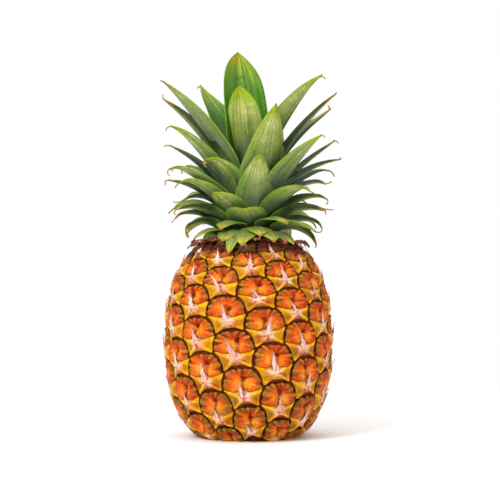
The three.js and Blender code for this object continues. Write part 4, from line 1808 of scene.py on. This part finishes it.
@dataclass(frozen=True)
class Crown:
    """The crown: its short stem and the leaves that it carries."""

    barrel: Barrel = field(default_factory=Barrel)
    stem_foot_radius: float = 16.5
    stem_radius: float = 20.0
    stem_top_radius: float = 7.0
    stem_foot: float = 133.8
    stem_shoulder: float = 142.0
    stem_top: float = 182.0
    root_sink: float = 5.0
    lowest_root: float = 142.0
    highest_root: float = 178.0
    root_crowding: float = 0.9
    clearance: float = 3.4
    reflexed_clearance: float = 3.6
    reflexed_cup: float = -0.5
    root_width_share: float = 0.45
    full_width_at: float = 0.4
    droop_from: float = 0.45
    base_cup: float = 48.0
    tip_cup: float = 36.0
    thickness: float = 1.3
    back_leaves: int = 24
    golden_angle: float = 137.508
    cells_across: int = 10
    cells_along: int = 30
    curve_steps: int = 61
    wave_height: float = 0.35
    full_spear: float = 8.0
    full_leaf: float = 3.2
    hooking: Pair = (25.0, 25.0)
    high_hooking: Pair = (0.0, 8.0)
    back_hooking: Pair = (15.0, 20.0)
    hooks_below: float = 200.0
    back_spread: float = 74.0
    back_crowding: float = 0.7
    back_reaches: Pair = (26.0, 64.0)
    back_tips: Pair = (246.0, 131.0)
    back_widths: Pair = (26.0, 20.0)
    back_bow: float = 4.0
    back_droops: Pair = (1.0, 8.0)
    thread_curl: float = 70.0
    thread_lengths: Pair = (4.0, 9.0)
    thread_half_width: float = 0.9
    thread_sway: float = 1.5
    thread_thickness: float = 0.35
    side_limits: Pair = (-61.6, 67.4)
    back_limit: float = 62.7

    def leaves(self) -> list[Leaf]:
        """Lists the leaves: those that show from the front, then those behind.

        Returns:
            The leaves.
        """
        draw = np.random.default_rng(SEED + 1)
        leaves = []
        for sizes in FRONT_LEAVES:
            low = Leaf(*sizes).tip < self.hooks_below
            hook = max(0.0, draw.normal(*self.hooking)) if low else draw.normal(*self.high_hooking)
            leaves.append(Leaf(*sizes, hook=hook, hue=draw.uniform()))
        return leaves + [self.back_leaf(number, draw) for number in range(self.back_leaves)]

    def back_leaf(self, number: int, draw: Draw) -> Leaf:
        """Sizes a leaf behind the crown, where they follow the golden angle from the stem's top down.

        Args:
            number: Its number from the top.
            draw: The source of its hook and hue.

        Returns:
            The leaf.
        """
        share = ((number + 0.5) / self.back_leaves) ** self.back_crowding
        swing = (number * self.golden_angle) % 360.0 / 180.0 - 1.0
        opening = math.sin(min(1.0, 2.0 * share) * math.pi / 2)
        return Leaf(
            turn=180.0 + self.back_spread * swing * min(1.0, 0.4 + 1.4 * share),
            reach=lerp(*self.back_reaches, opening) - 26.0 * max(0.0, share - 0.55),
            tip=lerp(*self.back_tips, share**self.root_crowding),
            width=lerp(*self.back_widths, share),
            bow=self.back_bow,
            droop=lerp(*self.back_droops, share * share),
            root=lerp(self.highest_root, self.lowest_root, share**self.root_crowding),
            hook=max(0.0, draw.normal(*self.back_hooking)),
            hue=draw.uniform(),
        )

    def stem_radius_at(self, height: float) -> float:
        """Returns the stem's radius at a height."""
        share = np.clip((height - self.stem_shoulder) / (self.stem_top - self.stem_shoulder), 0.0, 1.0)
        return float(lerp(self.stem_radius, self.stem_top_radius, share))

    def spine(self, leaf: Leaf, along: Points) -> Points:
        """Finds a blade's middle line in the upright plane through the axis.

        Args:
            leaf: The leaf.
            along: Shares of the blade's length.

        Returns:
            Rows of radius and height in millimetres.
        """
        root = np.array([max(1.0, self.stem_radius_at(leaf.root) - self.root_sink), leaf.root])
        tip = np.array([leaf.reach, leaf.tip + leaf.droop])
        chord = tip - root
        lift = np.array([-chord[1], chord[0]]) / np.linalg.norm(chord) * 2.0 * leaf.bow
        middle = (root + tip) / 2 + lift
        t = along[:, None]
        line = (1 - t) ** 2 * root + 2 * t * (1 - t) * middle + t**2 * tip
        line[:, 1] -= leaf.droop * np.maximum(0.0, (along - self.droop_from) / (1 - self.droop_from)) ** 2
        clearance = self.reflexed_clearance + 0.4 * leaf.bow if leaf.reflexed else self.clearance
        floor = self.barrel.shoulder_at(np.minimum(line[:, 0], self.barrel.radius - 0.1)) + clearance
        line[:, 1] = np.where(along > 0.12, np.maximum(line[:, 1], floor), line[:, 1])
        return line

    def hooked_spine(self, leaf: Leaf, along: Points) -> Points:
        """Finds a blade's middle line with its end hooked over.

        Args:
            leaf: The leaf.
            along: Shares of the blade's length.

        Returns:
            Rows of radius and height in millimetres.
        """
        line = self.spine(leaf, along)
        steps = np.diff(line, axis=0)
        lengths = np.hypot(steps[:, 0], steps[:, 1])
        angles = np.arctan2(steps[:, 1], steps[:, 0])
        angles = angles - math.radians(leaf.hook) * smoothstep(0.8, 1.0, along[1:]) ** 1.5
        steps = np.stack([lengths * np.cos(angles), lengths * np.sin(angles)], axis=1)
        return np.vstack([line[:1], line[0] + np.cumsum(steps, axis=0)])

    def tail(self, leaf: Leaf, across: Points, along: Points, draw: Draw) -> Points:
        """Bends a small flat grid into the dry curled thread at a leaf's end.

        Args:
            leaf: The leaf.
            across: The grid's places across, from -1 to 1.
            along: The grid's places along, from 0 at the leaf to 1 at the thread's end.
            draw: The source of its curl.

        Returns:
            Rows of x, y and z in millimetres.
        """
        fine = np.linspace(0.0, 1.0, self.curve_steps)
        line = self.hooked_spine(leaf, fine)
        angle = math.atan2(*(line[-1] - line[-5])[::-1])
        bends = angle + math.radians(draw.normal(-self.thread_curl, self.thread_curl)) * fine**1.3
        steps = np.stack([np.cos(bends), np.sin(bends)], axis=1)
        run = line[-3] + np.cumsum(steps, axis=0) * draw.uniform(*self.thread_lengths) / len(fine)
        radius, height = (np.interp(along, fine, run[:, axis]) for axis in (0, 1))
        side, outwards = level_axes(math.radians(leaf.turn))
        sway = draw.normal(0.0, self.thread_sway) * along**2
        wide = across * self.thread_half_width * (1.0 - 0.8 * along) + sway
        points = radius[:, None] * outwards + wide[:, None] * side + height[:, None] * UP
        points[:, 0] = np.clip(points[:, 0], *self.side_limits)
        points[:, 1] = np.minimum(points[:, 1], self.back_limit)
        return points

    def half_width(self, leaf: Leaf, along: Points) -> Points:
        """Finds half the blade's width: narrow at the root, full, then in to a point.

        Args:
            leaf: The leaf.
            along: Shares of the blade's length.

        Returns:
            Millimetres at each place.
        """
        fullness = self.full_spear if leaf.upright else self.full_leaf
        spread = np.sin(np.minimum(along / self.full_width_at, 1.0) * math.pi / 2)
        return leaf.width / 2 * lerp(self.root_width_share, 1.0, spread) * (1 - along**fullness)

    def blade(self, leaf: Leaf, across: Points, along: Points, draw: Draw) -> Points:
        """Bends a flat grid into one leaf.

        Args:
            leaf: The leaf.
            across: The grid's places across, from -1 to 1.
            along: The grid's places along, from 0 at the root to 1 at the tip.
            draw: The source of the small irregularities.

        Returns:
            Rows of x, y and z in millimetres.
        """
        fine = np.linspace(0.0, 1.0, self.curve_steps)
        line = self.hooked_spine(leaf, fine)
        tangent = np.gradient(line, axis=0)
        tangent /= np.linalg.norm(tangent, axis=1)[:, None]
        radius, height = (np.interp(along, fine, line[:, axis]) for axis in (0, 1))
        out, up = (np.interp(along, fine, tangent[:, axis]) for axis in (0, 1))
        half = self.half_width(leaf, along)
        cup = np.radians(lerp(self.base_cup, self.tip_cup, along))
        cup *= self.reflexed_cup if leaf.reflexed else 1.0
        waves = self.wave_height * np.sin(along * draw.uniform(10, 18) + draw.uniform(0, 6))
        lift = half * np.tan(cup / 2) * np.abs(across) ** 1.5 + waves * across**2 * (1 - along)
        side, outwards = level_axes(math.radians(leaf.turn))
        inwards = -up[:, None] * outwards + out[:, None] * UP
        twist = np.radians(math.copysign(leaf.twist, leaf.turn)) * smoothstep(0.1, 0.6, along)
        level = across * half * np.cos(twist) - lift * np.sin(twist)
        raised = across * half * np.sin(twist) + lift * np.cos(twist)
        points = radius[:, None] * outwards + height[:, None] * UP
        return points + level[:, None] * side + raised[:, None] * inwards

    def build(self) -> None:
        """Models and dresses the stem and the leaves."""
        self.build_stem()
        self.build_leaves()

    def build_stem(self) -> None:
        """Spins the stem that the leaves grow from."""
        profile = [
            (0.0, self.stem_foot),
            (self.stem_foot_radius, self.stem_foot),
            (self.stem_foot_radius, self.barrel.top + 0.3),
            (self.stem_radius, self.stem_shoulder),
            (self.stem_top_radius, self.stem_top),
            (0.0, self.stem_top + 5.0),
        ]
        stem = spun("crown_stem", profile, 32)
        skin = LeafFace("crown_stem_skin", roughness=0.6, foot="#5a5a34", young="#6e7a3a", full="#6e7a3a")
        settle(stem, "leaf", ["crown"], 30.0, skin)

    def build_leaves(self) -> None:
        """Bends the blades and their dry threads, joins them and gives them their thickness."""
        draw = np.random.default_rng(SEED + 2)
        leaves = self.leaves()
        whole = join(self.blades(leaves, draw) + self.threads(leaves, draw), "crown_leaves")
        outer = LeafFace("leaf_outer_bloom", roughness=0.55, specular=0.15)
        # The inner face's dark foot and low greens are painted shade as well.
        inner = LeafFace(
            "leaf_inner_green", roughness=0.4, specular=0.25, foot="#10280a", low="#22500e",
            young="#4c8c1c", full="#94bc48", margin="#70a418", mottle="#4c8c1c", midrib="#a4c46c",
            midrib_cover="#7f7f7f", tip="#d4c420", rib="#2c5c14", bloom_share=0.0, worn_share=0.9,
            painted_fold_shade_share=0.0,
        )
        for face in (outer, inner):
            whole.data.materials.append(face.build())
        solidify(whole, self.thickness, back=1)
        settle(whole, "leaf", ["crown"], 50.0)

    def blades(self, leaves: list[Leaf], draw: Draw) -> list[Thing]:
        """Models one blade as a grid and bends a copy for every leaf.

        Args:
            leaves: The leaves.
            draw: The source of their small differences.

        Returns:
            The blades.
        """
        template, across, along = grid("blade", self.cells_across, self.cells_along)
        group = template.vertex_groups.new(name="thick")
        for number, place in enumerate(across):
            group.add([number], float(1.0 - 0.9 * abs(place) ** 1.5), "REPLACE")
        length_share = smoothstep(0.3, 0.5, along) * smoothstep(1.0, 0.92, along)
        blades = []
        for number, leaf in enumerate(leaves):
            blade = copy_of(template, f"leaf_{number}")
            write_points(blade, self.blade(leaf, across, along, draw))
            write_mask(blade, "tone", leaf.greyness, draw.uniform(), leaf.age)
            # Painted shade: a strip along the lower edge of each side leaf, for a shaded fold.
            lower = -math.copysign(1.0, leaf.turn) * across
            painted_fold_shade = smoothstep(0.3, 0.5, lower) * (0.6 < leaf.age) * length_share
            write_mask(blade, "mask", painted_fold_shade, 0.0, 0.0)
            blades.append(blade)
        remove(template)
        return blades

    def threads(self, leaves: list[Leaf], draw: Draw) -> list[Thing]:
        """Models one dry thread as a small grid and curls a copy at the end of the leaves that have one.

        Args:
            leaves: The leaves.
            draw: The source of the curls.

        Returns:
            The threads.
        """
        template, across, along = grid("thread", 2, 9)
        write_uv(template, 0.5 + 0.2 * across, np.full_like(along, 1.1))
        group = template.vertex_groups.new(name="thick")
        group.add(list(range(len(across))), self.thread_thickness, "REPLACE")
        threads = []
        for number, leaf in enumerate(leaves):
            if not leaf.threaded:
                continue
            thread = copy_of(template, f"thread_{number}")
            write_points(thread, self.tail(leaf, across, along, draw))
            write_mask(thread, "tone", 0.0, draw.uniform(), 0.0)
            write_mask(thread, "mask", 0.0, 0.0, 0.0)
            threads.append(thread)
        remove(template)
        return threads


# ---- the collar and the stalk ----


@dataclass(frozen=True)
class PaperSizes:
    """The ranges that one kind of collar paper is drawn from, in millimetres."""

    starts: Pair
    lengths: Pair
    half_widths: Pair
    curls: Pair
    narrowing: float
    sway: float


class Paper(Enum):
    """The kinds of collar paper: broad bracts and thread-like tails."""

    BRACT = PaperSizes((22.0, 27.0), (-1.5, 3.5), (3.2, 5.6), (0.2, 1.6), 1.8, 1.0)
    TAIL = PaperSizes((26.0, 33.0), (6.0, 12.0), (0.8, 0.8), (1.0, 5.0), 1.0, 2.5)


@dataclass(frozen=True)
class Collar:
    """The dry, curled bracts that lie on the fruit's shoulder under the crown."""

    barrel: Barrel = field(default_factory=Barrel)
    reach: float = 43.0
    bracts: int = 44
    tails: int = 46
    golden_share: float = 0.618034
    thickness: float = 0.35
    cells: tuple[int, int] = (4, 10)
    overhang: float = 2.0
    flares: Pair = (-0.6, 4.0)
    flare_from: Pair = (33.0, 43.0)
    wave_heights: Pair = (0.3, 0.9)
    swell_from: Pair = (28.0, 36.0)
    loose_from: Pair = (36.0, 41.0)
    lifts: Pair = (0.4, 3.2)
    lift_from: Pair = (34.0, 42.0)
    point_share: float = 0.9
    cup: float = 0.12

    def build(self) -> None:
        """Models one papery sheet and lays its copies round the shoulder."""
        draw = np.random.default_rng(SEED + 3)
        template, across, along = grid("collar_bract", *self.cells)
        sheets = []
        for number in range(self.bracts + self.tails):
            sheet = copy_of(template, f"collar_{number}")
            kind = Paper.TAIL if number >= self.bracts else Paper.BRACT
            turn = math.radians(360.0 * (number * self.golden_share % 1.0) + draw.normal(0, 3))
            write_points(sheet, self.sheet(turn, kind, across, along, draw))
            write_mask(sheet, "tone", draw.uniform(), draw.uniform(), draw.uniform())
            sheets.append(sheet)
        remove(template)
        whole = join(sheets, "collar_papers")
        solidify(whole, self.thickness)
        paper = DryPaper(
            "dry_collar_paper", roughness=0.65, specular=0.25, pale="#cc7444", light="#e8ac84",
            streak="#8a3a22", edge="#8a3a22", point="#8a4a34", aged="#2c1016", lines=6.0,
        )
        settle(whole, "dry_bract", ["collar_bracts"], 60.0, paper)

    def sheet(self, turn: float, kind: Paper, across: Points, along: Points, draw: Draw) -> Points:
        """Bends a flat grid into one dry bract or tail.

        Args:
            turn: Where it grows, in radians from the front.
            kind: Whether it is a bract or a tail.
            across: The grid's places across.
            along: The grid's places along.
            draw: The source of its curl.

        Returns:
            Rows of x, y and z in millimetres.
        """
        sizes = kind.value
        start = draw.uniform(*sizes.starts)
        length = draw.uniform(*sizes.lengths)
        if kind is Paper.BRACT:
            length = self.reach - start - length
        half = draw_between(draw, *sizes.half_widths)
        radius = np.minimum(start + length * along, self.reach + self.overhang)
        curl = draw.uniform(*sizes.curls)
        flare = draw.uniform(*self.flares) * smoothstep(*self.flare_from, radius)
        wave = draw.uniform(*self.wave_heights)
        waves = wave * np.sin(along * draw.uniform(7, 13) + across * draw.uniform(0, 3))
        swell = curl * np.sin(math.pi * np.minimum(1.0, along * 1.1)) * smoothstep(*self.swell_from, radius)
        loose = (swell + waves) * smoothstep(*self.loose_from, radius)
        lift = lerp(*self.lifts, smoothstep(*self.lift_from, radius)) + loose
        wide = half * (1.0 - self.point_share * along**sizes.narrowing)
        sway = draw.normal(0, sizes.sway) * along**2
        height = self.barrel.shoulder_at(radius) + lift + flare
        height = height + self.cup * wide * across**2 * draw.normal(1.0, 1.0)
        side, outwards = level_axes(turn)
        return radius[:, None] * outwards + (across * wide + sway)[:, None] * side + height[:, None] * UP


@dataclass(frozen=True)
class CutStalk(Finish):
    """Cut fibrous wood of the stalk: dull and dry, tan with darker rings and pores."""

    light: str = "#b89a68"
    dark: str = "#6a4a2a"
    pore_size: float = 1.111
    ring_size: float = 8.333

    def colour(self, tree: Tree) -> Socket:
        """Builds the fibres' ends and faint rings.

        Args:
            tree: The material's node tree.

        Returns:
            The colour.
        """
        place = read_place(tree)
        fibrous = {"Scale": 1 / (self.pore_size * MM), "Detail": 3.0}
        noise = add_node(tree, "TexNoise", fibrous, {"Vector": place})
        ringed = {"wave_type": "RINGS", "rings_direction": "Z", "Scale": 1 / (self.ring_size * MM)}
        settings = ringed | {"Distortion": 3.0, "Detail Scale": 2.0}
        rings = add_node(tree, "TexWave", settings, {"Vector": place})
        faint = {"operation": "MULTIPLY_ADD", "Value_001": 0.35}
        mixed = add_node(tree, "Math", faint, {"Value": rings, "Value_002": noise})
        return add_node(tree, "ValToRGB", links={"Fac": mixed}, stops=((0.4, self.dark), (0.85, self.light)))


@dataclass(frozen=True)
class StalkStub:
    """The cut end of the stalk in the fruit's base."""

    radius: float = 12.5
    height: float = 6.0
    dish: float = 1.2

    def build(self) -> None:
        """Spins the stub, dished at its cut end and rounded at the rim, and dresses it."""
        profile = [(0.0, self.dish), (0.3 * self.radius, 0.8 * self.dish), (0.7 * self.radius, 0.15)]
        profile += [(0.85 * self.radius, 0.0), (0.97 * self.radius, 0.0), (self.radius, 0.5)]
        profile += [(self.radius, self.height), (0.0, self.height)]
        stub = spun("stalk_cut", profile, 48)
        wood = CutStalk("cut_stalk_wood", roughness=0.85, specular=0.2)
        settle(stub, "stalk_wood", ["stalk_stub"], 35.0, wood)


# ---- the studio ----


class Side(Enum):
    """Where a studio light stands: its place in metres, its size in metres and its power in watts."""

    KEY = ((-0.6, -0.8, 0.75), 0.45, 10.5)
    FILL = ((0.9, -0.7, 0.25), 0.9, 4.4)
    TOP = ((0.0, 0.0, 2.2), 3.0, 50.0)


@dataclass(frozen=True)
class FloorPaint(Finish):
    """Matt white paint of the studio floor."""

    shades: Stops = ((0.3, "#fbfafa"), (0.7, "#fdfdfc"))
    patch_size: float = 333.333

    def colour(self, tree: Tree) -> Socket:
        """Builds an almost even white.

        Args:
            tree: The material's node tree.

        Returns:
            The colour.
        """
        place = read_place(tree)
        noise = add_node(tree, "TexNoise", {"Scale": 1 / (self.patch_size * MM)}, {"Vector": place})
        return add_node(tree, "ValToRGB", links={"Fac": noise}, stops=self.shades)


@dataclass(frozen=True)
class Studio:
    """The pale floor, the soft lights and the camera."""

    distance: float = 0.7
    camera_height: float = 0.0762
    camera_pitch: float = 4.8
    lens: float = 70.1
    shift: Pair = (0.003, -0.007)
    ambient: float = 0.38
    floor_radius: float = 0.55
    target: tuple[float, float, float] = (0.0, 0.0, 0.14)

    def build(self) -> None:
        """Sets up the whole studio."""
        self.build_camera()
        self.build_floor()
        self.build_lights()
        bpy.context.scene.view_settings.view_transform = "Standard"

    def build_camera(self) -> None:
        """Stands the camera in front of the fruit, low and looking a little up."""
        deselect_all()
        bpy.ops.object.camera_add(
            location=(0.0, -self.distance, self.camera_height),
            rotation=(math.radians(90.0 + self.camera_pitch), 0.0, 0.0),
        )
        camera = bpy.context.object
        camera.data.lens = self.lens
        camera.data.shift_x, camera.data.shift_y = self.shift
        camera.data.clip_start = 0.01
        bpy.context.scene.camera = camera

    def build_floor(self) -> None:
        """Lays the floor, a round sheet that ends in the white of the room."""
        deselect_all()
        bpy.ops.mesh.primitive_circle_add(
            vertices=96, radius=self.floor_radius, fill_type="NGON", location=(0, 0, 0)
        )
        floor = bpy.context.object
        floor.name = "studio_floor"
        floor.data.materials.append(FloorPaint("studio_floor_paint", roughness=0.9, specular=0.1).build())

    def build_lights(self) -> None:
        """Hangs the soft boxes and lights the room evenly."""
        for side in Side:
            place, size, power = side.value
            deselect_all()
            bpy.ops.object.light_add(type="AREA", location=place)
            light = bpy.context.object
            light.name = f"light_{side.name.lower()}"
            light.data.size = size
            light.data.energy = power
            aim = Vector(self.target) - Vector(place)
            light.rotation_euler = aim.to_track_quat("-Z", "Y").to_euler()
        world = bpy.data.worlds.new("studio_air")
        bpy.context.scene.world = world
        world.use_nodes = True
        tree = world.node_tree
        tree.nodes.clear()
        seen = add_node(tree, "LightPath").node.outputs["Is Camera Ray"]
        strength = add_node(tree, "MapRange", {"To Min": self.ambient, "To Max": 1.0}, {"Value": seen})
        glow = add_node(tree, "Background", {"Color": linear(WHITE)}, {"Strength": strength})
        add_node(tree, "OutputWorld", links={"Surface": glow})


def main() -> None:
    """Builds the pineapple and the studio, and logs how many triangles each piece of the pineapple has."""
    logging.basicConfig(level=logging.INFO, format="%(message)s")
    Studio().build()
    Fruit().build()
    StalkStub().build()
    Collar().build()
    Crown().build()


if __name__ == "__main__":
    main()
